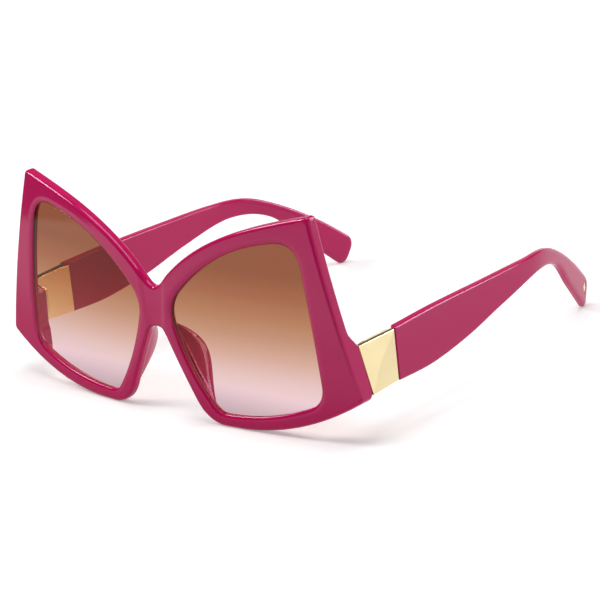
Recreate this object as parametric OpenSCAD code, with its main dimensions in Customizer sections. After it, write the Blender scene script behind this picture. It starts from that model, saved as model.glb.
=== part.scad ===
// Oversized cat-eye sunglasses, open, resting on the rims and the temple tips.
// +X is the wearer's left, the front faces -Y, the temples run towards +Y and +Z is up.
// The origin is at the middle of the bounding box, on the surface that the glasses rest on.

/* [Front outline] */
// Width of the front across its two lower outer corners
front_w = 152.4; // [146:0.2:158]
// Height of the pointed tips above the resting surface
tip_up = 69.2; // [65:0.2:73]
// Distance of each pointed tip from the middle plane
tip_out = 61.2; // [59:0.2:64]
// Height of the lower outer corners
corner_up = 14.2; // [12:0.2:15]
// Distance of each rim's nasal toe from the middle plane
toe_out = 17.2; // [16:0.2:19]
// Height of each rim's nasal toe, before it is rounded
toe_up = 0.4; // [0.2:0.1:0.6]
// Height at which the two top edges would meet at the bridge
notch_up = 39.4; // [38:0.2:42]
// Height of the underside of the bridge
bridge_up = 28.6; // [26:0.2:30]
// Half width of the flat part of the underside of the bridge
arch_out = 2.8; // [2.4:0.1:4]
// How far the top edge stands out from a straight line
top_bow = 5.9; // [4.5:0.1:6.5]
// How much of the top edge's bow lies towards the bridge
top_skew = 0.3; // [0:0.05:0.4]
// How far the bottom edge stands out from a straight line
bottom_bow = 5.2; // [4:0.1:5.8]

/* [Lens openings] */
// Distance of the opening's nasal corner from the middle plane
eye_nose_out = 6; // [5:0.1:7]
// Depth of the opening's nasal corner below the point where the top edges would meet
nose_drop = 3.2; // [2.6:0.1:4.2]
// Distance of the opening's upper outer corner inside the pointed tip
tip_rim = 4.7; // [3.5:0.1:6]
// Depth of the opening's upper outer corner below the pointed tip
tip_drop = 8.3; // [7.5:0.1:10]
// Width of the rim at its lower outer corner
corner_rim = 13.5; // [12.8:0.1:15]
// Depth of the opening's lower outer corner below the outline's corner
corner_drop = 1.8; // [0.5:0.1:2.2]
// Distance of the opening's toe from the middle plane
eye_toe_out = 22; // [21:0.1:24]
// Height of the opening's toe
eye_toe_up = 4; // [4:0.1:5.5]
// How far the opening's top edge stands out from a straight line
eye_top_bow = 6.2; // [5:0.1:6.6]
// How far the opening's bottom edge stands out from a straight line
eye_bottom_bow = 2.4; // [1.5:0.1:2.8]

/* [Front section] */
// Thickness of the rims at the nose, from front to back
rim_t = 3.4; // [3.2:0.1:4.4]
// Thickness of the rims at their outer sides
side_t = 4; // [3.8:0.1:5]
// Radius of the front's wrap, seen from above
wrap_r = 350; // [280:5:400]
// Radius of the front's face, seen from the side
crown_r = 360; // [300:5:450]
// Height of the foremost point of the face
crown_up = 21; // [16:0.5:26]
// Rounding of the outer edges of the front
edge_r = 1.1; // [0.6:0.1:1.4]
// Rounding of the end piece's rear edge, at the joint with the hinge block
joint_edge_r = 0.4; // [0.2:0.1:0.8]
// Rounding of the edges round the lenses
lip_r = 0.9; // [0.3:0.1:0.9]
// Depth of the hollow across the bridge
hollow_deep = 0.45; // [0.2:0.05:0.6]
// Half width of the hollow at the underside of the bridge
hollow_out = 4.2; // [3.8:0.1:4.6]
// How much wider each half of the hollow gets, per millimetre of height
hollow_flare = 0.115; // [0.05:0.005:0.13]
// Width of the steep part of each of the hollow's sides
hollow_side = 1.3; // [0.8:0.1:2]

/* [Lenses] */
// Thickness of a lens
lens_t = 2; // [1.6:0.1:2.2]
// Depth of the lens groove in the rim
groove_deep = 0.8; // [0.5:0.1:1.1]
// Width of the lens groove at its mouth
groove_w = 1.4; // [1:0.1:1.6]
// Clearance between a lens and its rim
lens_gap = 0.08; // [0.04:0.01:0.15]

/* [End pieces] */
// Distance of the joint with the hinge block behind the foremost point of the front
joint_back = 13.7; // [13:0.1:16]
// Width of the end piece, from the front's lower outer corner to its inner wall
end_w = 13.2; // [12.4:0.1:13.4]
// Depth below the temple's upper edge up to which the end piece has its full depth
end_drop = 2.2; // [0:0.1:2.8]
// Length over which the end piece runs out into the rim
end_blend = 6; // [4:0.5:9]

/* [Nose pads] */
// Height of the top end of a nose pad
pad_top = 30; // [28:0.5:32]
// Height of the bottom end of a nose pad
pad_low = 3; // [2:0.5:5]
// How far a pad stands back from the rim
pad_rise = 7.2; // [4:0.2:8]
// Thickness of a pad where it joins the rim
pad_t = 2.4; // [1.8:0.1:2.8]
// How far the top of the pad's rear edge leans away from the nose
pad_lean = 3; // [1:0.1:4]
// Thickness of the bond between a pad and its rim
pad_bond = 0.12; // [0.1:0.01:0.2]

/* [Hinges] */
// Outer radius of the hinge knuckles
barrel_r = 1.7; // [1.5:0.05:2]
// Radius of the hinge screw's shaft
pin_r = 0.7; // [0.5:0.05:0.8]
// Radial clearance of the screw in the knuckle that turns on it
pin_gap = 0.05; // [0.02:0.01:0.09]
// Radial clearance of the screw in the knuckles that hold it
hold_gap = 0.02; // [0.01:0.01:0.05]
// Height of the middle of the hinge
hinge_up = 22.4; // [21:0.1:24]
// Length of the temple's knuckle
mid_knuckle_l = 3; // [2:0.1:4]
// Length of each of the front leaf's knuckles
end_knuckle_l = 2.2; // [1.6:0.1:3]
// Gap between neighbouring knuckles
knuckle_gap = 0.1; // [0.05:0.05:0.3]
// Clearance between the knuckles and what they turn past
swing_gap = 0.35; // [0.25:0.05:0.5]
// Thickness of the hinge leaves
leaf_t = 1; // [0.8:0.1:1.2]
// Width of the front leaf
leaf_w = 5.6; // [5:0.1:6]
// Clearance of the leaves in their pockets
pocket_gap = 0.05; // [0.03:0.01:0.1]
// Radius of the leaf screws
leaf_screw_r = 0.6; // [0.5:0.05:0.7]
// Length of the leaf screws in the end piece
leaf_screw_l = 3.2; // [2:0.1:3.6]

/* [Hinge blocks] */
// Length of a hinge block from the joint to the temple
block_l = 15; // [13:0.1:18]
// How far the pyramid stands out from the face round it
pyramid_rise = 0.8; // [0.4:0.1:1.2]
// Width of the bevel round the pyramid
bevel_w = 0.6; // [0.4:0.1:1]
// Gap between the end piece and the hinge block when the temple is open
joint_gap = 0.1; // [0.05:0.01:0.3]
// How much further back the block reaches at its inner side, per millimetre of the temple's thickness
joint_slant = 0.45; // [0.2:0.05:0.6]
// How far the block stands inside the temple's faces where they meet
block_inset = 0.3; // [0.1:0.05:0.5]

/* [Temples] */
// Distance of the temple's outer face inside the front's lower outer corner, at the hinge block
arm_inset = 3.2; // [2.2:0.1:4.2]
// Thickness of a temple at the hinge block
arm_t = 3.2; // [2.8:0.1:3.8]
// Thickness of a temple at its end
arm_end_t = 2.4; // [2:0.1:3]
// Length of a temple from the hinge block to its end
arm_l = 114.8; // [109:0.2:119]
// Height of the temple's lower edge at the hinge block
arm_low = 13.9; // [13:0.1:15]
// Height of the temple's upper edge at the hinge block
arm_top = 30.8; // [29:0.1:32]
// Rounding of the temple's long edges
arm_r = 0.8; // [0.4:0.1:0.9]
// Rounding of the temple's end, seen from the side
tip_r = 3; // [2:0.1:3.5]
// Distance from the temple's end to the middle of its inward bend
bend_back = 43; // [39:0.5:47]
// Inward lean of the part behind the bend, per millimetre of length
bend_lean = 0.37; // [0.3:0.01:0.46]
// Diameter of the core wire
wire_d = 1.2; // [0.8:0.1:1.3]
// Length of the core wire
wire_l = 68; // [50:1:72]
// Length of the core wire that the hinge block holds
wire_held = 6; // [4:0.5:6]
// Clearance of the core wire in its bores
wire_gap = 0.05; // [0.02:0.01:0.1]
// Length of the inlay in the temple's end
inlay_l = 4.6; // [3:0.1:6]
// Width of the inlay
inlay_w = 3.2; // [2:0.1:3.6]
// Thickness of the inlay
inlay_t = 0.6; // [0.4:0.1:0.8]
// Clearance of the inlay in its recess
inlay_gap = 0.05; // [0.02:0.01:0.1]

/* [Hidden] */
$fn = 48;
eps = 0.01;

plastic = [0.70, 0.16, 0.36];
tint = [0.66, 0.42, 0.32, 0.8];
gold = [0.90, 0.78, 0.52];
steel = [0.80, 0.72, 0.53];

// Cut lengths that round the outline's corners, measured along its edges
notch_cut = 4.7;
tip_cut = 1.4;
corner_cut = 1.6;
toe_cut = 7.5;
arch_cut = 3;
eye_nose_cut = 5.9;
eye_tip_cut = 7.8;
eye_corner_cut = 5.3;
eye_toe_cut = 3;
nose_bow = 0.1;
eye_side_bow = 1.1;
eye_nose_bow = 2.3;

// Distances from the middle plane of the temple's outer face and of the end piece's inner wall
arm_out = front_w / 2 - arm_inset;
end_in = front_w / 2 - end_w;
end_up = arm_top - end_drop;

// Corners of the outline and of the opening, as distance from the middle plane and height
notch = [0, notch_up];
tip = [tip_out, tip_up];
corner = [front_w / 2, corner_up];
toe = [toe_out, toe_up];
arch = [arch_out, bridge_up];
eye_nose = [eye_nose_out, notch_up - nose_drop];
eye_tip = [tip_out - tip_rim, tip_up - tip_drop];
eye_corner = [front_w / 2 - corner_rim, corner_up - corner_drop];
eye_toe = [eye_toe_out, eye_toe_up];

// Edges as start, end, bow, the lengths cut off at the start and at the end, and the bow's skew to the start
top_edge = [notch, tip, top_bow, notch_cut, tip_cut, top_skew];
side_edge = [tip, corner, 0, tip_cut, corner_cut, 0];
bottom_edge = [corner, toe, bottom_bow, corner_cut, toe_cut, 0];
nose_edge = [toe, arch, nose_bow, toe_cut, arch_cut, 0];
arch_edge = [arch, [0, bridge_up], 0, arch_cut, 0, 0];
left_top_edge = [[-tip_out, tip_up], notch, top_bow, tip_cut, notch_cut, -top_skew];
eye_top_edge = [eye_nose, eye_tip, eye_top_bow, eye_nose_cut, eye_tip_cut, 0];
eye_side_edge = [eye_tip, eye_corner, eye_side_bow, eye_tip_cut, eye_corner_cut, 0];
eye_bottom_edge = [eye_corner, eye_toe, eye_bottom_bow, eye_corner_cut, eye_toe_cut, 0];
eye_nose_edge = [eye_toe, eye_nose, eye_nose_bow, eye_toe_cut, eye_nose_cut, 0];

// Numbers of steps round the rim; both loops use the same ones
notch_steps = 3;
top_steps = 11;
tip_steps = 4;
side_steps = 18;
corner_steps = 3;
bottom_steps = 11;
toe_steps = 6;
nose_steps = 8;
arch_steps = 3;
bridge_steps = 4;

function mix(a, b, t) = a + (b - a) * t;
function ease(t) = let(u = min(max(t, 0), 1)) u * u * (3 - 2 * u);
function left_of(d) = [-d[1], d[0]] / norm(d);
function skewed(e, t) = 1 + e[5] * (1 - 2 * t);
function edge_at(e, t) = mix(e[0], e[1], t) + left_of(e[1] - e[0]) * 4 * e[2] * t * (1 - t) * skewed(e, t);
function edge_dir(e, t) =
    e[1] - e[0] + left_of(e[1] - e[0]) * 4 * e[2] * ((1 - 2 * t) * skewed(e, t) - 2 * e[5] * t * (1 - t));
function edge_start(e) = e[3] / norm(e[1] - e[0]);
function edge_end(e) = 1 - e[4] / norm(e[1] - e[0]);
function meet(p, u, q, v) = p + u * cross(q - p, v) / cross(u, v);
// A smooth corner between edge e and edge f
function corner_at(e, f, t) =
    let(
        p = edge_at(e, edge_end(e)),
        q = edge_at(f, edge_start(f)),
        m = meet(p, edge_dir(e, edge_end(e)), q, edge_dir(f, edge_start(f)))
    )
    mix(mix(p, m, t), mix(m, q, t), t);
function edge_run(e, n, from = 0, to = 1) =
    [for (i = [0:n - 1]) edge_at(e, mix(edge_start(e), edge_end(e), mix(from, to, i / n)))];
function corner_run(e, f, n, from = 0, to = 1) = [for (i = [0:n - 1]) corner_at(e, f, mix(from, to, i / n))];
function no_lower(loop) = [for (p = loop) [p[0], max(p[1], 0)]];

notch_mid = corner_at(left_top_edge, top_edge, 0.5);
bridge_low = [0, bridge_up];
// Outer loop of one rim: over the top, down the side, along the bottom, up the nose and across the bridge
outer_loop = no_lower(concat(
    corner_run(left_top_edge, top_edge, notch_steps, 0.5, 1),
    edge_run(top_edge, top_steps),
    corner_run(top_edge, side_edge, tip_steps),
    edge_run(side_edge, side_steps),
    corner_run(side_edge, bottom_edge, corner_steps),
    edge_run(bottom_edge, bottom_steps),
    corner_run(bottom_edge, nose_edge, toe_steps),
    edge_run(nose_edge, nose_steps),
    corner_run(nose_edge, arch_edge, arch_steps),
    [for (i = [0:bridge_steps - 1]) mix(bridge_low, notch_mid, i / bridge_steps)]));
steps = len(outer_loop);
bridge_start = steps - bridge_steps;
// Share of the opening's nasal corner that faces the bridge, and of its nasal edge that faces the nose
bridge_share = 0.8;
nose_share = 0.86;
inner_loop = concat(
    corner_run(eye_nose_edge, eye_top_edge, notch_steps, bridge_share, 1),
    edge_run(eye_top_edge, top_steps),
    corner_run(eye_top_edge, eye_side_edge, tip_steps),
    edge_run(eye_side_edge, side_steps),
    corner_run(eye_side_edge, eye_bottom_edge, corner_steps),
    edge_run(eye_bottom_edge, bottom_steps),
    corner_run(eye_bottom_edge, eye_nose_edge, toe_steps),
    edge_run(eye_nose_edge, nose_steps, 0, nose_share),
    edge_run(eye_nose_edge, arch_steps, nose_share, 1),
    corner_run(eye_nose_edge, eye_top_edge, bridge_steps, 0, bridge_share));
function travel(loop, i) = loop[(i + 1) % steps] - loop[(i + steps - 1) % steps];
// Direction from the outer loop into the material
function into(i) =
    i == 0 ? [0, -1] :
    i == bridge_start ? [0, 1] :
    i > bridge_start ? [0, 0] : -left_of(travel(outer_loop, i));
// Direction from the opening into the material
function away(i) = left_of(travel(inner_loop, i));

// The curved front face: how far back it lies at a distance x from the middle and a height z
function face_y(p) = pow(p[0], 2) / (2 * wrap_r) + pow(p[1] - crown_up, 2) / (2 * crown_r);
function at_depth(p, depth) = [p[0], face_y(p) + depth, p[1]];
// The hollow between the rims: steep at its sides, then shallow up to the middle plane
steep_share = 0.7;
function hollow_half(z) = hollow_out + hollow_flare * max(z - bridge_up, 0);
function hollow(p) =
    let(half = hollow_half(p[1]), d = half - p[0])
    hollow_deep * (steep_share * ease(d / hollow_side) + (1 - steep_share) * ease(d / half));
function rim_depth(p) = mix(rim_t, side_t, ease(p[0] / tip_out));

// How much of the end piece's depth the rim has at a point of its outer loop
end_ramp_in = end_in - 1;
function lift(p) = ease((end_up + end_blend - p[1]) / end_blend) * ease((p[0] - end_ramp_in) / end_blend);
function rear_y(p, k) = mix(face_y(p) + rim_depth(p), joint_back, k);

// Lens seat: depths behind the face of the groove's middle, and of the lens's front
groove_mid = rim_t / 2;
lens_set = groove_mid - lens_t / 2;
// Share of a rounding's radius at its middle point
round_mid = 0.29;
// Rounding of the lips, and the most that it may take of the wall beside the groove
lip_share = 0.9;
lip = min(lip_r, lip_share * (groove_mid - groove_w / 2));
// Where the face may be split between the outer edge and the lip, as lowest and highest shares
split_in = [0.15, 0.75];
split_out = [0.3, 0.9];
// Share of the way from distance x to distance x_end at which a point is at distance goal from the middle
function share_at(goal, x, x_end, limits) =
    min(max(x < goal ? (goal - x) / max(x_end - x, eps) : 0, limits[0]), limits[1]);
// Width of the end piece's inner wall and of its rounded edge, along the rim's section
wall_run = 0.3;
wall_r = 0.6;
// Land between a lip and that wall, and the share between a section's rear points where there is no wall
wall_land = 0.1;
flat_share = 0.05;
// Steps of a section up to its outer edge, and over it
inner_steps = 12;
outer_steps = 5;

// One section of the rim: along the opening, across the back, along the outer edge, in 3-D points
function rim_section(i) =
    let(
        a = inner_loop[i],
        b = outer_loop[i],
        n = away(i),
        m = into(i),
        k = i < bridge_start ? lift(b) : 0,
        len_ab = norm(b - a),
        depth = rim_depth(a),
        s = max(mix(0.5, (end_in - a[0]) / max(b[0] - a[0], 1), k), (lip + wall_land) / len_ab),
        inner = [[lip, 0], [round_mid * lip, round_mid * lip], [0, lip],
            [0, groove_mid - groove_w / 2], [groove_deep, groove_mid], [0, groove_mid + groove_w / 2],
            [0, depth - lip], [round_mid * lip, depth - round_mid * lip], [lip, depth]],
        back_b = rear_y(b, k) - face_y(b),
        rear_r = mix(edge_r, joint_edge_r, k * ease((b[1] - corner_up) / (2 * edge_r))),
        outer = [[rear_r, back_b], [round_mid * rear_r, back_b - round_mid * rear_r], [0, back_b - rear_r],
            [0, edge_r], [round_mid * edge_r, round_mid * edge_r], [edge_r, 0]],
        face_b = b + m * edge_r,
        face_a = a + n * lip,
        half = hollow_half(b[1]),
        splits = [share_at(half - hollow_side, face_b[0], face_a[0], split_in),
            share_at(half, face_b[0], face_a[0], split_out)],
        wall = [s, s + mix(flat_share, wall_run / len_ab, k),
            s + mix(2 * flat_share, (wall_run + wall_r) / len_ab, k)],
        w0 = mix(a, b, wall[0]),
        w1 = mix(a, b, wall[1]),
        w2 = mix(a, b, wall[2])
    )
    concat(
        [for (q = inner) let(p = a + n * q[0]) at_depth(p, q[1])],
        [at_depth(w0, rim_depth(w0)),
            [w1[0], mix(face_y(w1) + rim_depth(w1), joint_back - wall_r, k), w1[1]],
            [w2[0], rear_y(w2, k), w2[1]]],
        [for (j = [0:outer_steps]) let(q = outer[j], p = b + m * q[0])
            [p[0], (j < 3 ? rear_y(p, k) + q[1] - back_b : face_y(p) + hollow(p) + q[1]), max(p[1], 0)]],
        [for (t = splits) let(p = mix(face_b, face_a, t)) at_depth(p, hollow(p))]);

rim_sides = 20;
outer_end = inner_steps + outer_steps;
// Points of the right half of the loft, then of its mirror image
rim_points = [for (i = [0:steps - 1]) each rim_section(i)];
function on_axis(i, j) = j >= inner_steps && j <= outer_end && (i == 0 || i >= bridge_start);
function rim_index(half, i, j) =
    let(ii = i % steps, jj = j % rim_sides)
    ii * rim_sides + jj + (half == 1 && !on_axis(ii, jj) ? steps * rim_sides : 0);
function quad(a, b, c, d, flip) = flip ? [[a, b, c], [a, c, d]] : [[c, b, a], [d, c, a]];
// The strip of the bridge that lies on the middle plane joins the two halves, so it has no faces
rim_faces = [for (half = [0, 1], i = [0:steps - 1], j = [0:rim_sides - 1])
    if (!(i >= bridge_start && j >= inner_steps && j < outer_end))
    each quad(rim_index(half, i, j), rim_index(half, i, j + 1),
        rim_index(half, i + 1, j + 1), rim_index(half, i + 1, j), half == 1)];

// The glasses reach from the face beside the bridge's underside to the ends of the temples
foremost = face_y([0, bridge_up]);
arm_start = joint_back + block_l;
arm_end = arm_start + arm_l;
centre_back = (foremost + arm_end) / 2;
module placed() translate([0, -centre_back, 0]) children();
module on_side(side) mirror([side < 0 ? 1 : 0, 0, 0]) children();

// Inward lean of the temple's outer face between the block and the bend, per millimetre of length
arm_taper = 0.036;
// Hinge axis, from the middle plane and behind the foremost point
arm_in = arm_out - arm_t;
axis_out = arm_in - barrel_r - swing_gap / 2;
axis_back = joint_back + barrel_r + swing_gap;
barrel_l = mid_knuckle_l + 2 * end_knuckle_l + 2 * knuckle_gap;
barrel_low = hinge_up - barrel_l / 2;

// Front leaf, let into the back of the end piece
leaf_out = axis_out - barrel_r;
leaf_h = barrel_l + 1.6;
screw_out = leaf_out + leaf_w - 1.5;
screw_step = leaf_h / 2 - 1.6;
module leaf_plate(gap)
    translate([leaf_out - gap, joint_back - leaf_t - gap, hinge_up - leaf_h / 2 - gap])
        cube([leaf_w + 2 * gap, leaf_t + 2 * gap, leaf_h + 2 * gap]);
module at_leaf_screws()
    for (z = [-screw_step, screw_step])
        translate([screw_out, joint_back, hinge_up + z]) rotate([90, 0, 0]) children();

module front_frame()
    color(plastic) placed() difference() {
        polyhedron(concat(rim_points, [for (p = rim_points) [-p[0], p[1], p[2]]]), rim_faces, 4);
        for (side = [-1, 1]) on_side(side) {
            leaf_plate(pocket_gap);
            at_leaf_screws() cylinder(r = leaf_screw_r + hold_gap, h = leaf_t + leaf_screw_l + pocket_gap);
        }
    }

// Lens: rings from the middle of the front face, over the bevelled edge, to the middle of the back
lens_mid = [(eye_nose[0] + eye_corner[0]) / 2, (eye_tip[1] + eye_toe[1]) / 2];
bevel_out = groove_deep - lens_gap;
bevel_half = groove_w / 2 - lens_gap;
lens_rings = [[0.5, -lens_gap, lens_set], [1, -lens_gap, lens_set],
    [1, -lens_gap, groove_mid - bevel_half], [1, bevel_out, groove_mid], [1, -lens_gap, groove_mid + bevel_half],
    [1, -lens_gap, lens_set + lens_t], [0.5, -lens_gap, lens_set + lens_t]];
function lens_ring(r) = [for (i = [0:steps - 1])
    let(p = mix(lens_mid, inner_loop[i] + away(i) * r[1], r[0])) at_depth(p, r[2])];
lens_points = concat([for (r = lens_rings) each lens_ring(r)],
    [at_depth(lens_mid, lens_set), at_depth(lens_mid, lens_set + lens_t)]);
last_ring = len(lens_rings) - 1;
lens_faces = concat(
    [for (k = [0:last_ring - 1], i = [0:steps - 1])
        let(j = (i + 1) % steps)
        each quad(k * steps + i, k * steps + j, (k + 1) * steps + j, (k + 1) * steps + i, false)],
    [for (i = [0:steps - 1]) [(last_ring + 1) * steps, i, (i + 1) % steps]],
    [for (i = [0:steps - 1])
        [(last_ring + 1) * steps + 1, last_ring * steps + (i + 1) % steps, last_ring * steps + i]]);
module lens(side)
    color(tint) placed() on_side(side) polyhedron(lens_points, lens_faces, 4);

// Nose pad: upright sections along the nasal edge of the rim, low at both ends and highest below the middle
pad_levels = 12;
pad_end_rise = 0.5;
// Middle of the rim's nasal side at a height z
function nose_x(z) = mix(toe_out, arch_out, (z - toe_up) / (bridge_up - toe_up));
pad_offset = 3;
pad_peak = 1.5;
pad_full = 0.9;
function pad_section(z) =
    let(
        u = (z - pad_low) / (pad_top - pad_low),
        h = mix(pad_end_rise, pad_rise, pow(sin(180 * pow(u, pad_peak)), pad_full)),
        x = nose_x(z) + pad_offset,
        base = face_y([x, z]) + rim_depth([x, z]) + pad_bond,
        w = pad_t / 2,
        lean = pad_lean * u * u * h / pad_rise
    )
    [[x - w, base, z], [x - w * 0.9 + lean * 0.3, base + h * 0.5, z], [x - w * 0.55 + lean * 0.9, base + h * 0.9, z],
        [x + lean, base + h, z], [x + w * 0.55 + lean * 1.05, base + h * 0.9, z],
        [x + w * 0.9 + lean * 0.8, base + h * 0.5, z], [x + w, base, z]];
pad_points = [for (k = [0:pad_levels]) each pad_section(mix(pad_low, pad_top, k / pad_levels))];
pad_sides = 7;
pad_faces = concat(
    [[for (j = [pad_sides - 1:-1:0]) j]],
    [[for (j = [0:pad_sides - 1]) pad_levels * pad_sides + j]],
    [for (k = [0:pad_levels - 1], j = [0:pad_sides - 1])
        let(n = (j + 1) % pad_sides)
        each quad(k * pad_sides + j, k * pad_sides + n, (k + 1) * pad_sides + n, (k + 1) * pad_sides + j, true)]);
module nose_pad(side)
    color(plastic) placed() on_side(side) polyhedron(pad_points, pad_faces, 4);

module knuckle(from, length, bore_r)
    translate([axis_out, axis_back, from]) difference() {
        union() {
            cylinder(r = barrel_r, h = length);
            children();
        }
        translate([0, 0, -eps]) cylinder(r = bore_r, h = length + 2 * eps);
    }

module front_hinge(side)
    color(steel) placed() on_side(side) {
        difference() {
            leaf_plate(0);
            at_leaf_screws() translate([0, 0, -eps]) cylinder(r = leaf_screw_r + hold_gap, h = leaf_t + 2 * eps);
        }
        for (z = [barrel_low, barrel_low + barrel_l - end_knuckle_l])
            knuckle(z, end_knuckle_l, pin_r + hold_gap)
                translate([-barrel_r, joint_back - axis_back, 0]) cube([barrel_r, axis_back - joint_back, end_knuckle_l]);
    }

module leaf_screws()
    color(steel) placed() for (side = [-1, 1]) on_side(side)
        at_leaf_screws() cylinder(r = leaf_screw_r, h = leaf_t + leaf_screw_l);

head_r = 1.2;
head_h = 0.6;
slot_w = 0.35;
module hinge_screw(side)
    color(steel) placed() on_side(side) translate([axis_out, axis_back, barrel_low]) {
        cylinder(r = pin_r, h = barrel_l);
        translate([0, 0, barrel_l]) difference() {
            cylinder(r = head_r, h = head_h);
            translate([-head_r, -slot_w / 2, head_h / 2]) cube([2 * head_r, slot_w, head_h]);
        }
    }

// Temple leaf: a knuckle, a neck into the hinge block and a tongue in the block's slot
tongue_x = arm_in + (arm_t - leaf_t) / 2;
tongue_l = 8;
tongue_h = 6;
neck_l = 1.6;
mid_low = hinge_up - mid_knuckle_l / 2;
module tongue(gap) {
    translate([tongue_x - gap, joint_back + swing_gap + joint_gap, hinge_up - tongue_h / 2 - gap])
        cube([leaf_t + 2 * gap, tongue_l + gap, tongue_h + 2 * gap]);
    translate([arm_in - swing_gap, axis_back - neck_l / 2 - gap, mid_low - gap])
        cube([tongue_x + eps - arm_in + swing_gap, neck_l + 2 * gap, mid_knuckle_l + 2 * gap]);
}
module temple_hinge(side)
    color(steel) placed() on_side(side) {
        knuckle(mid_low, mid_knuckle_l, pin_r + pin_gap)
            translate([0, -neck_l / 2, 0]) cube([arm_in - axis_out - swing_gap / 2, neck_l, mid_knuckle_l]);
        tongue(0);
    }

// Hinge block: its front end follows the slanting side of the front, its rear end the temple
block_front = joint_back + joint_gap;
block_back = arm_start - joint_gap;
block_back_in = block_back + (joint_slant - arm_taper) * arm_t;
side_slope = (corner[0] - tip_out) / (tip_up - corner_up);
function side_x(z) = corner[0] - (z - corner_up) * side_slope;
front_top = arm_top - 1;
front_low = arm_low + 1;
back_top = arm_top - block_inset;
back_low = arm_low + block_inset;
back_out = arm_out - block_inset;
apex = [mix(side_x(hinge_up), arm_out, 0.4) + pyramid_rise, mix(block_front, block_back, 0.4), hinge_up + 0.5];
bevel_h = bevel_w * 0.6;
block_points = [
    [arm_in, block_front, front_low], [arm_in, block_front, front_top],
    [arm_in, block_back_in, back_top], [arm_in, block_back_in, back_low],
    [side_x(front_low) - bevel_h, block_front, front_low], [side_x(front_top) - bevel_h, block_front, front_top],
    [back_out - bevel_h, block_back, back_top], [back_out - bevel_h, block_back, back_low],
    [side_x(front_low), block_front + bevel_w, front_low + bevel_w],
    [side_x(front_top), block_front + bevel_w, front_top - bevel_w],
    [back_out, block_back - bevel_w, back_top - bevel_w],
    [back_out, block_back - bevel_w, back_low + bevel_w],
    apex];
block_faces = concat(
    [[2, 1, 0], [3, 2, 0]],
    [for (i = [0:3]) let(j = (i + 1) % 4) each quad(i, j, 4 + j, 4 + i, true)],
    [for (i = [0:3]) let(j = (i + 1) % 4) each quad(4 + i, 4 + j, 8 + j, 8 + i, true)],
    [for (i = [0:3]) [12, 8 + i, 8 + (i + 1) % 4]]);

// Core wire: a straight run through the temple and into the hinge block
wire_start = arm_start - wire_held;
wire_end_up = 28.1;
wire_lean = 2;
wire_climb = asin((wire_end_up - hinge_up) / wire_l);
module at_wire()
    translate([arm_in + arm_t / 2, wire_start, hinge_up]) rotate([wire_climb - 90, 0, wire_lean]) children();

module hinge_block(side)
    color(gold) placed() on_side(side) difference() {
        polyhedron(block_points, block_faces, 4);
        tongue(pocket_gap);
        translate([tongue_x - pocket_gap, block_front - 1, hinge_up - tongue_h / 2 - pocket_gap])
            cube([leaf_t + 2 * pocket_gap, 2, tongue_h + 2 * pocket_gap]);
        translate([axis_out, axis_back, mid_low - pocket_gap])
            cylinder(r = barrel_r + swing_gap, h = mid_knuckle_l + 2 * pocket_gap);
        at_wire() translate([0, 0, -wire_gap]) cylinder(d = wire_d + 2 * wire_gap, h = wire_l);
    }
module core_wire(side)
    color(steel) placed() on_side(side) at_wire() cylinder(d = wire_d, h = wire_l);

// Temple: matching points of its upper and lower edge, as distance back and height
arm_upper = [[arm_start, arm_top], [arm_start + 20, 31.6], [arm_end - 71.5, 31.8], [arm_end - 49.5, 31.8],
    [arm_end - 35, 30.8], [arm_end - 22, 25], [arm_end - 10, 17], [arm_end - 1, 9.5]];
arm_lower = [[arm_start, arm_low], [arm_start + 16, 14.1], [arm_end - 81.5, 16.9], [arm_end - 63.5, 21.5],
    [arm_end - 42, 25.6], [arm_end - 27.5, 22.6], [arm_end - 17, 12], [arm_end - 5.5, 0.6]];
span_steps = 6;
function cubic(p, q, r, s, t) =
    q + (r - p) * t / 2 + (p * 2 - q * 5 + r * 4 - s) * t * t / 2 + (q * 3 - p - r * 3 + s) * pow(t, 3) / 2;
function smooth_run(v, n) =
    let(last = len(v) - 1)
    concat([for (k = [0:last - 1], i = [0:n - 1])
        cubic(v[max(k - 1, 0)], v[k], v[k + 1], v[min(k + 2, last)], i / n)], [v[last]]);
upper_run = smooth_run(arm_upper, span_steps);
lower_run = smooth_run(arm_lower, span_steps);
// Outer face of the temple: straight, then bending inwards
bend_soft = 10;
function bend_part(y) = let(d = y - arm_end + bend_back) (sqrt(d * d + bend_soft * bend_soft) + d) / 2;
function arm_x(y) = arm_out - arm_taper * (y - arm_start) - bend_lean * (bend_part(y) - bend_part(arm_start));
function arm_thick(y) = mix(arm_t, arm_end_t, (y - arm_start) / arm_l);
function arm_slope(y) = (arm_x(y + 0.5) - arm_x(y - 0.5));
// Length over which the slant of the temple's front end fades
slant_run = 20;
// A point of the temple at depth v under its outer face
function arm_point(p, v) =
    let(
        m = arm_slope(p[0]),
        f = sqrt(1 + m * m),
        slant = joint_slant * ease(1 - (p[0] - arm_start) / slant_run)
    )
    [arm_x(p[0]) - v / f, p[0] + v * (m / f + slant), max(p[1], 0)];
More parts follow.
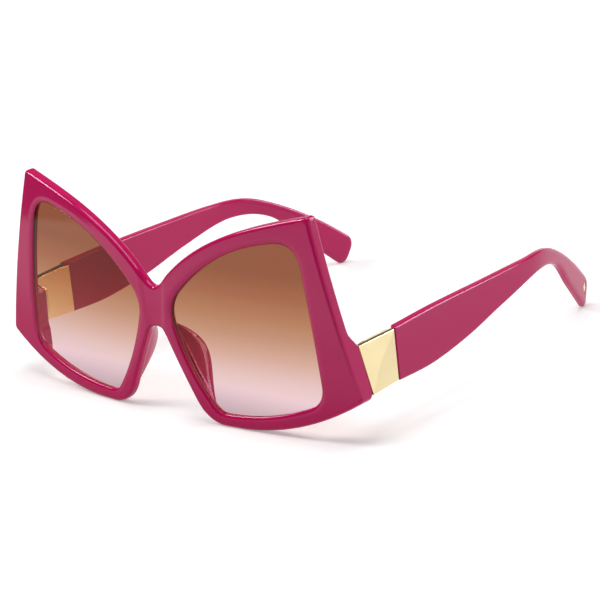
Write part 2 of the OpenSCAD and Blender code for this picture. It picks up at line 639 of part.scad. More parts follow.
// One section between an upper and a lower point, drawn in at its corners
function arm_section(up, low, pull, thin) =
    let(
        d = (up - low) / norm(up - low),
        u = up - d * pull,
        l = low + d * pull,
        t = arm_thick(up[0]) - thin,
        r = min(arm_r, (t - thin) / 2 - 0.2),
        m = round_mid * r
    )
    [arm_point(u - d * r, thin), arm_point(u - d * m, thin + m), arm_point(u, thin + r),
        arm_point(u, t - r), arm_point(u - d * m, t - m), arm_point(u - d * r, t),
        arm_point(l + d * r, t), arm_point(l + d * m, t - m), arm_point(l, t - r),
        arm_point(l, thin + r), arm_point(l + d * m, thin + m), arm_point(l + d * r, thin)];
arm_sides = 12;
arm_last = len(upper_run) - 1;
end_dir_up = (upper_run[arm_last] - upper_run[arm_last - 1]) / norm(upper_run[arm_last] - upper_run[arm_last - 1]);
end_angles = [22.5, 45, 67.5, 90];
arm_points = concat(
    [for (k = [0:arm_last]) each arm_section(upper_run[k], lower_run[k], 0, 0)],
    [for (a = end_angles)
        let(d = end_dir_up * tip_r * sin(a))
        each arm_section(upper_run[arm_last] + d, lower_run[arm_last] + d, tip_r * (1 - cos(a)), arm_r * (1 - cos(a)))]);
arm_rings = arm_last + len(end_angles);
arm_faces = concat(
    [[for (j = [arm_sides - 1:-1:0]) j]],
    [[for (j = [0:arm_sides - 1]) arm_rings * arm_sides + j]],
    [for (k = [0:arm_rings - 1], j = [0:arm_sides - 1])
        let(n = (j + 1) % arm_sides)
        each quad(k * arm_sides + j, k * arm_sides + n, (k + 1) * arm_sides + n, (k + 1) * arm_sides + j, true)]);

// Plain inlay in the outer face of the temple's end
inlay_y = arm_end - 3.4;
inlay_up = 6.4;
inlay_turn = -27;
module at_inlay()
    translate(arm_point([inlay_y, inlay_up], 0)) rotate([0, 0, -atan(arm_slope(inlay_y))]) rotate([0, 90, 0])
        rotate([0, 0, inlay_turn]) children();
module inlay_shape(gap, depth)
    translate([0, 0, -depth]) linear_extrude(depth + (gap > 0 ? 1 : 0))
        polygon([[inlay_l / 2 + gap, 0], [0, inlay_w / 2 + gap], [-inlay_l / 2 - gap, 0], [0, -inlay_w / 2 - gap]]);

module temple(side)
    color(plastic) placed() on_side(side) difference() {
        polyhedron(arm_points, arm_faces, 4);
        at_wire() cylinder(d = wire_d + 2 * wire_gap, h = wire_l + wire_gap);
        at_inlay() inlay_shape(inlay_gap, inlay_t + inlay_gap);
    }
module tip_inlay(side)
    color(gold) placed() on_side(side) at_inlay() inlay_shape(0, inlay_t);

front_frame();
lens(1);  // lens_left
lens(-1);  // lens_right
nose_pad(1);  // nose_pad_left
nose_pad(-1);  // nose_pad_right
front_hinge(1);  // front_hinge_left
front_hinge(-1);  // front_hinge_right
leaf_screws();
hinge_screw(1);  // hinge_screw_left
hinge_screw(-1);  // hinge_screw_right
hinge_block(1);  // hinge_block_left
hinge_block(-1);  // hinge_block_right
temple_hinge(1);  // temple_hinge_left
temple_hinge(-1);  // temple_hinge_right
core_wire(1);  // core_wire_left
core_wire(-1);  // core_wire_right
temple(1);  // temple_left
temple(-1);  // temple_right
tip_inlay(1);  // tip_inlay_left
tip_inlay(-1);  // tip_inlay_right
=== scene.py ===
"""Oversized cat-eye sunglasses: smooth modelled pieces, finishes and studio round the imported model.

Pieces are drawn in millimetres: x towards the wearer's left, depth back from the foremost point of
the face's curve, z up. Their meshes and the studio are in metres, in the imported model's frame.
"""

import math
from itertools import product

import bmesh
import bpy
import numpy as np
from mathutils import Matrix, Vector


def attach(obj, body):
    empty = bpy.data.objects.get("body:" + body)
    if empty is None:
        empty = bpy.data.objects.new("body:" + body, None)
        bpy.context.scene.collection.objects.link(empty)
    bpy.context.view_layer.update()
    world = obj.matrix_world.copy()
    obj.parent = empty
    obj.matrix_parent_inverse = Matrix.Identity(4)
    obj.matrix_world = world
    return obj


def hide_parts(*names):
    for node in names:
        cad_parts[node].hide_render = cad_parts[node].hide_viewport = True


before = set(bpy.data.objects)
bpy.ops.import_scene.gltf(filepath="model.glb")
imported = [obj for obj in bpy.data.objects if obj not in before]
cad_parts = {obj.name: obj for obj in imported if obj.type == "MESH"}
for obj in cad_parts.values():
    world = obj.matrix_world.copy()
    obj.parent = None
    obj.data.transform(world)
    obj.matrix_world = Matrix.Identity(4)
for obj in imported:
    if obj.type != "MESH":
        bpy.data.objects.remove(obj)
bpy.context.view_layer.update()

MM = 0.001
SIDES = {"left": 1, "right": -1}

# Outline of the front
FRONT_W = 152.4
TIP = np.array([61.2, 69.2])
CORNER = np.array([FRONT_W / 2, 14.2])
TOE = np.array([17.2, 0.4])
NOTCH = np.array([0, 39.4])
ARCH = np.array([2.8, 28.6])
BRIDGE_LOW = np.array([0, ARCH[1]])
TOP_BOW = 5.9
TOP_SKEW = 0.3
BOTTOM_BOW = 5.2
NOSE_BOW = 0.1
# Lengths that the corners take off the edges beside them
NOTCH_CUT = 4.7
TIP_CUT = 1.4
CORNER_CUT = 1.6
TOE_CUT = 7.5
ARCH_CUT = 3
# The outline's inset turns towards the opening near the sharp tip
TIP_NEAR = 2
TIP_FADE = 8

# Lens openings
EYE_NOSE = np.array([6, 36.2])
EYE_TIP = np.array([56.5, 60.9])
EYE_CORNER = np.array([62.7, 12.4])
EYE_TOE = np.array([22, 4])
EYE_TOP_BOW = 6.2
EYE_SIDE_BOW = 1.1
EYE_BOTTOM_BOW = 2.4
EYE_NOSE_BOW = 2.3
EYE_NOSE_CUT = 5.9
EYE_TIP_CUT = 7.8
EYE_CORNER_CUT = 5.3
EYE_TOE_CUT = 3

# Section of the front
RIM_T = 3.4
SIDE_T = 4
WRAP_R = 350
CROWN_R = 360
CROWN_UP = 21
EDGE_R = 1.1
JOINT_EDGE_R = 0.4
LIP_R = 0.9
LIP_W = 2.1
HOLLOW_DEEP = 0.45
HOLLOW_OUT = 4.2
HOLLOW_FLARE = 0.115
HOLLOW_SIDE = 2
STEEP_SHARE = 0.7
ROUND_STEPS = 6
FRONT_SHARP = 40
# A rounding takes at most this share of what it rounds
ROUND_LIMIT = 0.45

# Lenses and their groove
LENS_T = 2
GROOVE_DEEP = 0.8
GROOVE_W = 1.4
LENS_GAP = 0.08
LENS_CUT = 0.06
LENS_RINGS = 12
# A lens's face belongs to its matt edge, with the painted reflection of the groove, where its normal's
# depth is less
EDGE_FACING = 0.6
GROOVE_MID = RIM_T / 2
LENS_SET = GROOVE_MID - LENS_T / 2

# End pieces
JOINT_BACK = 13.7
END_IN = 63
END_UP = 28.6
END_BLEND = 6
END_EARLY = 1
WALL_FOOT = 0.5
WALL_RUN = 0.3
WALL_R = 0.6
WALL_FILLET = 1
WALL_LAND = 0.1
WALL_PULL = 0.3
FLAT_SHARE = 0.05

# Nose pads
PAD_TOP = 30
PAD_LOW = 3
PAD_RISE = 7.2
PAD_END_RISE = 0.5
PAD_T = 2.4
PAD_LEAN = 3
PAD_OFFSET = 3
PAD_PEAK = 1.5
PAD_FULL = 0.9
PAD_BOND = 0.02
PAD_LEVELS = 44
PAD_SMOOTH = 5
# Section of a pad: shares of its half width, of its lean and of its height
PAD_PROFILE = [
    (-1.15, 0, 0),
    (-1, 0, 0.12),
    (-0.9, 0.3, 0.5),
    (-0.55, 0.9, 0.9),
    (0, 1, 1),
    (0.55, 1.05, 0.9),
    (0.9, 0.8, 0.5),
    (1, 0, 0.12),
    (1.15, 0, 0),
]

# Hinges
BARREL_R = 1.7
PIN_R = 0.7
PIN_GAP = 0.05
HOLD_GAP = 0.02
HINGE_UP = 22.4
MID_KNUCKLE_L = 3
END_KNUCKLE_L = 2.2
KNUCKLE_GAP = 0.1
KNUCKLE_CUT = 0.1
WEB_INSET = 0.05
SWING_GAP = 0.35
LEAF_T = 1
LEAF_W = 5.6
LEAF_PAST_BARREL = 1.6
LEAF_CORNER_R = 0.5
LEAF_CORNER_STEPS = 6
POCKET_GAP = 0.05
# Cutters reach this far past what they cut
PAST = 1
TURN_STEPS = 40
METAL_SHARP = 32

# Screws
LEAF_SCREW_R = 0.6
LEAF_SCREW_L = 3.2
LEAF_SCREW_FROM_SIDE = 1.5
LEAF_SCREW_FROM_END = 1.6
SCREW_HEAD_R = 1.05
SCREW_SINK = 0.45
SINK_GAP = 0.07
SINK_OPEN = 0.05
SINK_DEEP = 2
SCREW_SET = 0.02
SCREW_RIM = 0.03
POINT_L = 0.4
POINT_R = 0.3
CROSS_L = 1.2
CROSS_W = 0.24
CROSS_LOW = 0.28
CROSS_HIGH = 0.3
PIN_UP = 0.02
PIN_CUT = 0.15
HEAD_R = 1.2
HEAD_H = 0.6
HEAD_MIDDLE_R = 0.25
DOME_FLAT = 0.65
DOME_FOOT = 0.5
DOME_STEPS = 6
SLOT_W = 0.35
TONGUE_L = 8
TONGUE_H = 6
NECK_L = 1.6

# Hinge blocks
BLOCK_L = 15
PYRAMID_RISE = 0.8
BEVEL_W = 0.24
BEVEL_H = 0.12
CREST_IN = 0.8
CREST_UP = 0.2
APEX_BACK = 0.4
APEX_UP = 0.5
JOINT_GAP = 0.1
JOINT_SLANT = 0.45
BLOCK_GAP = 0.04
BLOCK_INSET = 0.3
BLOCK_FRONT_INSET = 1
BLOCK_FALL_MIDDLE = 0.26
BLOCK_FALL_ENDS = 0.7
BLOCK_FALL_POWER = 1.2
BLOCK_STEPS = 8
BLOCK_TOP_ROWS = 5
BLOCK_EDGE_R = 0.09

# Temples
ARM_OUT = 73
ARM_T = 3.2
ARM_END_T = 2.4
ARM_L = 114.8
ARM_LOW = 13.9
ARM_TOP = 30.8
ARM_R = 0.8
ARM_SOFT_W = 2
SOFT_FROM_END = 60
SOFT_RUN = 30
EDGE_LEFT = 0.05
ARM_START_R = 0.45
ARM_TAPER = 0.036
SLANT_RUN = 20
TIP_R = 3
BEND_BACK = 43
BEND_LEAN = 0.37
BEND_SOFT = 10
WIRE_D = 1.2
WIRE_L = 68
WIRE_HELD = 6
WIRE_GAP = 0.05
WIRE_END_UP = 28.1
WIRE_LEAN = 2
WIRE_CUT = 0.15
WIRE_STEPS = 24
INLAY_L = 4.6
INLAY_W = 3.2
INLAY_T = 0.6
INLAY_GAP = 0.05
INLAY_SUNK = 0.15
INLAY_PILLOW = 0.2
INLAY_EDGE_R = 0.06
INLAY_UP = 6.4
INLAY_FROM_END = 3.4
INLAY_TURN = -27

ARM_START = JOINT_BACK + BLOCK_L
ARM_END = ARM_START + ARM_L
ARM_IN = ARM_OUT - ARM_T
AXIS_OUT = ARM_IN - BARREL_R - SWING_GAP / 2
AXIS_BACK = JOINT_BACK + BARREL_R + SWING_GAP
BARREL_L = MID_KNUCKLE_L + 2 * END_KNUCKLE_L + 2 * KNUCKLE_GAP
BARREL_LOW = HINGE_UP - BARREL_L / 2


def face_depth(x, z):
    """How far back the curved front face lies."""
    return x**2 / (2 * WRAP_R) + (z - CROWN_UP) ** 2 / (2 * CROWN_R)


# The middle of the glasses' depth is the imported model's origin.
CENTRE_BACK = (face_depth(0, ARCH[1]) + ARM_END) / 2


def mix(a, b, t):
    return a + (b - a) * t


def clamp(t, low=0.0, high=1.0):
    return min(max(t, low), high)


def ease(t):
    u = clamp(t)
    return u * u * (3 - 2 * u)


def hollow_half(z):
    return HOLLOW_OUT + HOLLOW_FLARE * max(z - ARCH[1], 0)


def hollow(x, z):
    """Depth of the hollow across the bridge: steep at its sides, then shallow up to the middle."""
    half = hollow_half(z)
    inside = half - x
    steep, shallow = ease(inside / HOLLOW_SIDE), ease(inside / half)
    return HOLLOW_DEEP * (STEEP_SHARE * steep + (1 - STEEP_SHARE) * shallow)


def unit(v):
    return v / np.linalg.norm(v)


def left_of(v):
    return unit(np.array([-v[1], v[0]]))


def cross(u, v):
    return u[0] * v[1] - u[1] * v[0]


def curve3(p, m, q, t):
    """A point of the smooth corner from p to q round m."""
    return mix(mix(p, m, t), mix(m, q, t), t)


def smooth_run(knots, steps):
    """Points of a smooth curve through the knots."""
    v = [np.array(k, float) for k in knots]
    last = len(v) - 1
    run = []
    for k in range(last):
        p, q, r, s = v[max(k - 1, 0)], v[k], v[k + 1], v[min(k + 2, last)]
        for i in range(steps):
            t = i / steps
            curve = (2 * p - 5 * q + 4 * r - s) * t**2 + (3 * q - p - 3 * r + s) * t**3
            run.append(q + ((r - p) * t + curve) / 2)
    return run + [v[last]]


def add_object(name, data):
    made = bpy.data.objects.new(name, data)
    bpy.context.scene.collection.objects.link(made)
    return made


# Camera, from the photograph's perspective: degrees and millimetres
VIEW_TURN, VIEW_UP, VIEW_ROLL = 45.0, 17.995, -6.187
VIEW_DISTANCE = 996.24
VIEW_RIGHT = 40.525
VIEW_ABOVE = 35.011
VIEW_AHEAD = 70.58
FOCAL_LENGTH = 194.08
SENSOR_W = 36


def add_camera():
    azimuth, elevation, roll = (math.radians(a) for a in (VIEW_TURN, VIEW_UP, VIEW_ROLL))
    level_part = math.cos(elevation)
    back = Vector(
        (math.sin(azimuth) * level_part, -math.cos(azimuth) * level_part, math.sin(elevation))
    )
    level = (-back).cross(Vector((0, 0, 1))).normalized()
    upright = level.cross(-back)
    right = math.cos(roll) * level + math.sin(roll) * upright
    up = math.cos(roll) * upright - math.sin(roll) * level
    place = back * VIEW_DISTANCE + right * VIEW_RIGHT + up * VIEW_ABOVE - Vector((0, VIEW_AHEAD, 0))
    data = bpy.data.cameras.new("camera")
    data.lens = FOCAL_LENGTH
    data.sensor_width = SENSOR_W
    data.clip_start, data.clip_end = 0.05, 20
    camera = add_object("camera", data)
    turn = Matrix((right, up, back)).transposed().to_4x4()
    camera.matrix_world = Matrix.Translation(place * MM) @ turn
    bpy.context.scene.camera = camera


# Materials

# Most of a noise lies between these
NOISE_LOW, NOISE_HIGH = 0.3, 0.7


class Tree:
    """The nodes of a material or of the world."""

    def __init__(self, owner):
        owner.use_nodes = True
        self.nodes, self.links = owner.node_tree.nodes, owner.node_tree.links

    def fill(self, node, inputs):
        """Gives each input its value, or links the socket that is given for it."""
        for key, value in inputs.items():
            if isinstance(value, bpy.types.NodeSocket):
                self.links.new(value, node.inputs[key])
            else:
                node.inputs[key].default_value = value
        return node

    def add(self, kind, output, inputs):
        """A new node's output."""
        return self.fill(self.nodes.new("ShaderNode" + kind), inputs).outputs[output]

    def rays(self):
        """What kind of ray arrives."""
        return self.nodes.new("ShaderNodeLightPath").outputs

    def place(self, kind="Object"):
        """The X, Y and Z of a texture coordinate."""
        point = self.add("TexCoord", kind, {})
        return self.fill(self.nodes.new("ShaderNodeSeparateXYZ"), {"Vector": point}).outputs

    def noise(self, scale, detail=2.0, stretch=(1, 1, 1)):
        """A noise over the piece's own space, with features per metre."""
        own = self.add("TexCoord", "Object", {})
        point = self.add("Mapping", "Vector", {"Vector": own, "Scale": stretch})
        return self.add("TexNoise", "Fac", {"Vector": point, "Scale": scale, "Detail": detail})

    def ramp(self, source, stops):
        """A colour ramp over source, from (position, colour) stops."""
        node = self.fill(self.nodes.new("ShaderNodeValToRGB"), {"Fac": source})
        elements = node.color_ramp.elements
        while len(elements) < len(stops):
            elements.new(0.5)
        for element, (position, colour) in zip(elements, stops):
            element.position = position
            element.color = (*colour[:3], 1)
        return node.outputs["Color"]

    def grey_ramp(self, source, stops):
        return self.ramp(source, [(position, (v, v, v)) for position, v in stops])

    def two_tone(self, source, first, second):
        """A noise as colours from first to second."""
        return self.ramp(source, [(NOISE_LOW, first), (NOISE_HIGH, second)])

    def remap(self, source, given, wanted=(0, 1)):
        ends = {"From Min": given[0], "From Max": given[1], "To Min": wanted[0], "To Max": wanted[1]}
        return self.add("MapRange", "Result", {"Value": source, **ends})

    def spread(self, source, low, high):
        """A noise as values from low to high."""
        return self.remap(source, (NOISE_LOW, NOISE_HIGH), (low, high))

    def bump(self, height, distance, strength):
        return self.add("Bump", "Normal", {"Strength": strength, "Distance": distance, "Height": height})

    def math(self, operation, first, *others):
        """The values combined one after the other."""
        for other in others:
            node = self.nodes.new("ShaderNodeMath")
            node.operation = operation
            first = self.fill(node, {0: first, 1: other}).outputs["Value"]
        return first

    def blend_colour(self, factor, first, second):
        """The first colour where factor is 0 and the second where it is 1."""
        node = self.nodes.new("ShaderNodeMix")
        node.data_type = "RGBA"
        return self.fill(node, {"Factor": factor, "A": first, "B": second}).outputs["Result"]

    def blend_surface(self, factor, first, second):
        """Makes the surface the first shader where factor is 0 and the second where it is 1."""
        blend = self.add("MixShader", "Shader", {0: factor, 1: first, 2: second})
        self.fill(self.nodes["Material Output"], {"Surface": blend})


def new_material(name):
    material = bpy.data.materials.new(name)
    tree = Tree(material)
    return material, tree, tree.nodes["Principled BSDF"]


def plastic_material():
    material, tree, shader = new_material("magenta_plastic")
    tone = tree.noise(scale=60, detail=3.0)
    ripple = tree.noise(scale=420, detail=1.0)
    finish = {
        "Base Color": tree.two_tone(tone, (0.59, 0.005, 0.11), (0.62, 0.006, 0.117)),
        "Roughness": tree.spread(tree.noise(scale=900), 0.08, 0.12),
        "IOR": 1.49,
        "Specular Tint": (0.88, 0.76, 1, 1),
        "Normal": tree.bump(ripple, distance=0.00003, strength=0.08),
    }
    tree.fill(shader, finish)
    return material


def gold_material():
    material, tree, shader = new_material("pale_gold")
    brush = tree.noise(scale=500, stretch=(1, 0.08, 1))
    finish = {
        "Base Color": tree.two_tone(tree.noise(scale=140), (0.96, 0.785, 0.455), (0.99, 0.82, 0.485)),
        "Metallic": 1.0,
        "Roughness": tree.spread(brush, 0.09, 0.14),
        "Normal": tree.bump(brush, distance=0.00002, strength=0.06),
    }
    tree.fill(shader, finish)
    return material


def plated_material():
    """Satin steel with pale gold plating, for the hinges and their screws."""
    material, tree, shader = new_material("plated_steel")
    brush = tree.noise(scale=1400, detail=3.0, stretch=(1, 1, 0.1))
    finish = {
        "Base Color": tree.two_tone(tree.noise(scale=200), (0.8, 0.66, 0.42), (0.88, 0.74, 0.5)),
        "Metallic": 1.0,
        "Roughness": tree.spread(brush, 0.24, 0.36),
        "Normal": tree.bump(brush, distance=0.00002, strength=0.15),
    }
    tree.fill(shader, finish)
    return material


def matt_edge_painted_groove_material():
    """The matt ground edge of a lens, painted crimson as a painted reflection of the groove that holds
    it.
    """
    material, tree, shader = new_material("matt_edge_painted_groove_reflection")
    finish = {
        # Crimson: the painted reflection of the groove in the lens's edge
        "Base Color": tree.two_tone(tree.noise(scale=80), (0.66, 0.01, 0.06), (0.72, 0.016, 0.075)),
        "Roughness": 0.6,
        "Normal": tree.bump(tree.noise(scale=1500), distance=0.00002, strength=0.1),
    }
    tree.fill(shader, finish)
    return material


# Light that passes through a lens, by height
LENS_TOP = 62
LENS_TINTS = [
    (6, (0.92, 0.66, 0.72)),
    (11, (0.895, 0.645, 0.69)),
    (17.5, (0.8, 0.555, 0.525)),
    (24, (0.69, 0.41, 0.325)),
    (30.3, (0.557, 0.294, 0.187)),
    (36.6, (0.468, 0.208, 0.106)),
    (43, (0.385, 0.14, 0.067)),
    (50, (0.3, 0.1, 0.047)),
    (58, (0.3, 0.097, 0.048)),
]


def lens_material():
    """Tinted glass, brown at the top and pink at the bottom, that lets lamps through with its tint."""
    material, tree, shader = new_material("gradient_lens")
    height = tree.remap(tree.place()["Z"], (0, LENS_TOP * MM))
    tint = tree.ramp(height, [(up / LENS_TOP, colour) for up, colour in LENS_TINTS])
    tree.fill(shader, {"Base Color": tint, "Transmission Weight": 1.0, "IOR": 1.25, "Roughness": 0.0})
    root = tree.add("Gamma", "Color", {"Color": tint, "Gamma": 0.5})
    clear = tree.add("BsdfTransparent", "BSDF", {"Color": root})
    rays = tree.rays()
    unseen = tree.math("MAXIMUM", rays["Is Shadow Ray"], rays["Is Diffuse Ray"])
    tree.blend_surface(unseen, shader.outputs["BSDF"], clear)
    return material


# The material of each slot
FINISHES = {
    "frame_plastic": plastic_material(),
    "gold_metal": gold_material(),
    "hinge_steel": plated_material(),
    "lens_tint": lens_material(),
}
# The lens's matt edge, with the painted reflection of the groove
MATT_EDGE_PAINTED_GROOVE = matt_edge_painted_groove_material()


# Mesh tools


def to_frame(points):
    """Points in millimetres, with depths from the foremost point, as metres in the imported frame."""
    moved = np.array(points, float)
    moved[:, 1] -= CENTRE_BACK
    return moved * MM


def turn_outwards(mesh):
    shape = bmesh.new()
    shape.from_mesh(mesh)
    bmesh.ops.recalc_face_normals(shape, faces=shape.faces[:])
    shape.to_mesh(mesh)
    shape.free()


def add_mesh(name, points, faces):
    """A new object from points in millimetres."""
    mesh = bpy.data.meshes.new(name)
    mesh.from_pydata(to_frame(points).tolist(), [], faces)
    mesh.validate()
    turn_outwards(mesh)
    return add_object(name, mesh)


def apply_modifiers(piece):
    graph = bpy.context.evaluated_depsgraph_get()
    mesh = bpy.data.meshes.new_from_object(piece.evaluated_get(graph))
    piece.modifiers.clear()
    piece.data = mesh


def combine(piece, others, how="DIFFERENCE"):
    """Cuts others out of piece, or joins them to it as a UNION, and removes them."""
    for other in others:
        step = piece.modifiers.new("step", "BOOLEAN")
        step.operation = how
        step.object = other
        step.solver = "EXACT"
    apply_modifiers(piece)
    for other in others:
        bpy.data.objects.remove(other)
    return piece


def round_edges(piece, width, angle):
    """Rounds the edges that are sharper than angle."""
    step = piece.modifiers.new("edges", "BEVEL")
    step.width = width * MM
    step.segments = 3
    step.limit_method = "ANGLE"
    step.angle_limit = math.radians(angle)
    apply_modifiers(piece)


def finish_piece(piece, slot, body, nodes, sharp_angle):
    """Shades the piece, gives it its slot's material and puts it on its body in its nodes' place."""
    mesh = piece.data
    mesh.materials.clear()
    mesh.materials.append(FINISHES[slot])
    mesh.polygons.foreach_set("use_smooth", [True] * len(mesh.polygons))
    mesh.set_sharp_from_angle(angle=math.radians(sharp_angle))
    shade = piece.modifiers.new("shading", "WEIGHTED_NORMAL")
    shade.keep_sharp = True
    shade.weight = 80
    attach(piece, body)
    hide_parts(*nodes)


def strips(rows, width, closed=False, skip=None):
    """Quads between consecutive rows of points, each row a closed ring."""
    faces = []
    for k in range(rows if closed else rows - 1):
        n = (k + 1) % rows
        for j in range(width):
            m = (j + 1) % width
            if skip and skip(k, j):
                continue
            faces.append((k * width + j, k * width + m, n * width + m, n * width + j))
    return faces


def loft(name, sections):
    """A piece from closed sections, with a face at each end."""
    rows, width = len(sections), len(sections[0])
    faces = strips(rows, width)
    faces.append(tuple(range(width - 1, -1, -1)))
    faces.append(tuple(range((rows - 1) * width, rows * width)))
    return add_mesh(name, [p for s in sections for p in s], faces)


# Front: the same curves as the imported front, sampled finely


class Edge:
    """An edge of an outline from start to end, bowed out, with its ends cut off for the corners."""

    def __init__(self, start, end, bow, cut_start, cut_end, skew=0.0):
        self.start, self.end, self.bow, self.skew = start, end, bow, skew
        self.length = np.linalg.norm(end - start)
        self.first = cut_start / self.length
        self.last = 1 - cut_end / self.length
        self.side = left_of(end - start)

    def at(self, t):
        swell = 4 * self.bow * t * (1 - t) * (1 + self.skew * (1 - 2 * t))
        return mix(self.start, self.end, t) + self.side * swell

    def heading(self, t):
        skewed = 1 + self.skew * (1 - 2 * t)
        turn = (1 - 2 * t) * skewed - 2 * self.skew * t * (1 - t)
        return self.end - self.start + self.side * 4 * self.bow * turn

    def run(self, count, low=0.0, high=1.0):
        return [self.at(mix(self.first, self.last, mix(low, high, i / count))) for i in range(count)]


def corner_run(e, f, count, low=0.0, high=1.0):
    """Points of the smooth corner between edges e and f."""
    p, q = e.at(e.last), f.at(f.first)
    u, v = e.heading(e.last), f.heading(f.first)
    m = p + u * cross(q - p, v) / cross(u, v)
    return [curve3(p, m, q, mix(low, high, i / count)) for i in range(count)]


TOP = Edge(NOTCH, TIP, TOP_BOW, NOTCH_CUT, TIP_CUT, TOP_SKEW)
SIDE = Edge(TIP, CORNER, 0, TIP_CUT, CORNER_CUT)
BOTTOM = Edge(CORNER, TOE, BOTTOM_BOW, CORNER_CUT, TOE_CUT)
NOSE = Edge(TOE, ARCH, NOSE_BOW, TOE_CUT, ARCH_CUT)
ARCH_EDGE = Edge(ARCH, BRIDGE_LOW, 0, ARCH_CUT, 0)
LEFT_TOP = Edge(TIP * [-1, 1], NOTCH, TOP_BOW, TIP_CUT, NOTCH_CUT, -TOP_SKEW)
EYE_TOP = Edge(EYE_NOSE, EYE_TIP, EYE_TOP_BOW, EYE_NOSE_CUT, EYE_TIP_CUT)
EYE_SIDE = Edge(EYE_TIP, EYE_CORNER, EYE_SIDE_BOW, EYE_TIP_CUT, EYE_CORNER_CUT)
EYE_BOTTOM = Edge(EYE_CORNER, EYE_TOE, EYE_BOTTOM_BOW, EYE_CORNER_CUT, EYE_TOE_CUT)
EYE_NOSE_EDGE = Edge(EYE_TOE, EYE_NOSE, EYE_NOSE_BOW, EYE_TOE_CUT, EYE_NOSE_CUT)

# Steps round a rim, the same for its outline and its opening
STEPS = dict(notch=8, top=56, tip=14, side=44, corner=10)
STEPS.update(bottom=56, toe=18, nose=40, arch=8, bridge=10)
BRIDGE_SHARE = 0.8
NOSE_SHARE = 0.86


def top_to_toe(top, side, bottom, nose):
    """Points along the first three edges, with the corner after each."""
    n = STEPS
    return (
        top.run(n["top"])
        + corner_run(top, side, n["tip"])
        + side.run(n["side"])
        + corner_run(side, bottom, n["corner"])
        + bottom.run(n["bottom"])
        + corner_run(bottom, nose, n["toe"])
    )


def outline_points():
    n = STEPS
    notch_mid = corner_run(LEFT_TOP, TOP, 2)[1]
    low, high = BRIDGE_LOW + [0, EDGE_R], notch_mid - [0, EDGE_R]
    bridge = [BRIDGE_LOW] + [mix(low, high, i / n["bridge"]) for i in range(1, n["bridge"])]
    loop = (
        corner_run(LEFT_TOP, TOP, n["notch"], 0.5, 1)
        + top_to_toe(TOP, SIDE, BOTTOM, NOSE)
        + NOSE.run(n["nose"])
        + corner_run(NOSE, ARCH_EDGE, n["arch"])
        + bridge
    )
    return np.array([[p[0], max(p[1], 0)] for p in loop])


def opening_points():
    n = STEPS
    return np.array(
        corner_run(EYE_NOSE_EDGE, EYE_TOP, n["notch"], BRIDGE_SHARE, 1)
        + top_to_toe(EYE_TOP, EYE_SIDE, EYE_BOTTOM, EYE_NOSE_EDGE)
        + EYE_NOSE_EDGE.run(n["nose"], 0, NOSE_SHARE)
        + EYE_NOSE_EDGE.run(n["arch"], NOSE_SHARE, 1)
        + corner_run(EYE_NOSE_EDGE, EYE_TOP, n["bridge"], 0, BRIDGE_SHARE)
    )


OUTLINE = outline_points()
OPENING = opening_points()
COUNT = len(OUTLINE)
BRIDGE_START = COUNT - STEPS["bridge"]


def travel(loop, i):
    return loop[(i + 1) % COUNT] - loop[i - 1]


def rim_depth(x):
    return mix(RIM_T, SIDE_T, ease(x / TIP[0]))


def lift(p):
    """The share of the end piece's depth that the rim has at a point of its outline."""
    from_top = ease((END_UP + END_BLEND - p[1]) / END_BLEND)
    return from_top * ease((p[0] - END_IN + END_EARLY) / END_BLEND)


def rear_depth(p, k):
    return mix(face_depth(*p) + rim_depth(p[0]), JOINT_BACK, k)


def arc(width, height=None):
    """A quarter round as (inset, drop), from a face at full inset to the side at full drop."""
    height = width if height is None else height
    angles = [math.pi / 2 * i / ROUND_STEPS for i in range(ROUND_STEPS + 1)]
    return [(width * (1 - math.sin(a)), height * (1 - math.cos(a))) for a in angles]


def inset_way(i):
    """Direction and scale from the outline into the material, at the sharp tip towards the opening."""
    if i == 0:
        return np.array([0.0, -1.0])
    if i == BRIDGE_START:
        return np.array([0.0, 1.0])
    if i > BRIDGE_START:
        return np.zeros(2)
    normal = -left_of(travel(OUTLINE, i))
    tip_share = 1 - ease((np.linalg.norm(OUTLINE[i] - TIP) - TIP_NEAR) / TIP_FADE)
    if tip_share == 0:
        return normal
    way = unit(mix(normal, unit(OPENING[i] - OUTLINE[i]), tip_share))
    return way / way.dot(normal)


WALL_STEPS = 4
# Rows of the face between the outer edge and the steep side of the hollow, over it, and up to the lip
FACE_ROWS = (3, 5, 3)
SPLIT_IN = (0.15, 0.75)
SPLIT_OUT = (0.3, 0.9)


def share_at(goal, x, x_end, limits):
    """Share of the way from distance x to x_end at which the distance from the middle is goal."""
    share = (goal - x) / max(x_end - x, 0.01) if x < goal else 0.0
    return clamp(share, *limits)


def face_shares(outer, inner, z):
    half = hollow_half(z)
    low = share_at(half - HOLLOW_SIDE, outer[0], inner[0], SPLIT_IN)
    high = share_at(half, outer[0], inner[0], SPLIT_OUT)
    stops = [0.0, low, high, 1.0]
    shares = []
    for k, rows in enumerate(FACE_ROWS):
        shares += [mix(stops[k], stops[k + 1], n / rows) for n in range(rows)]
    return shares[1:]


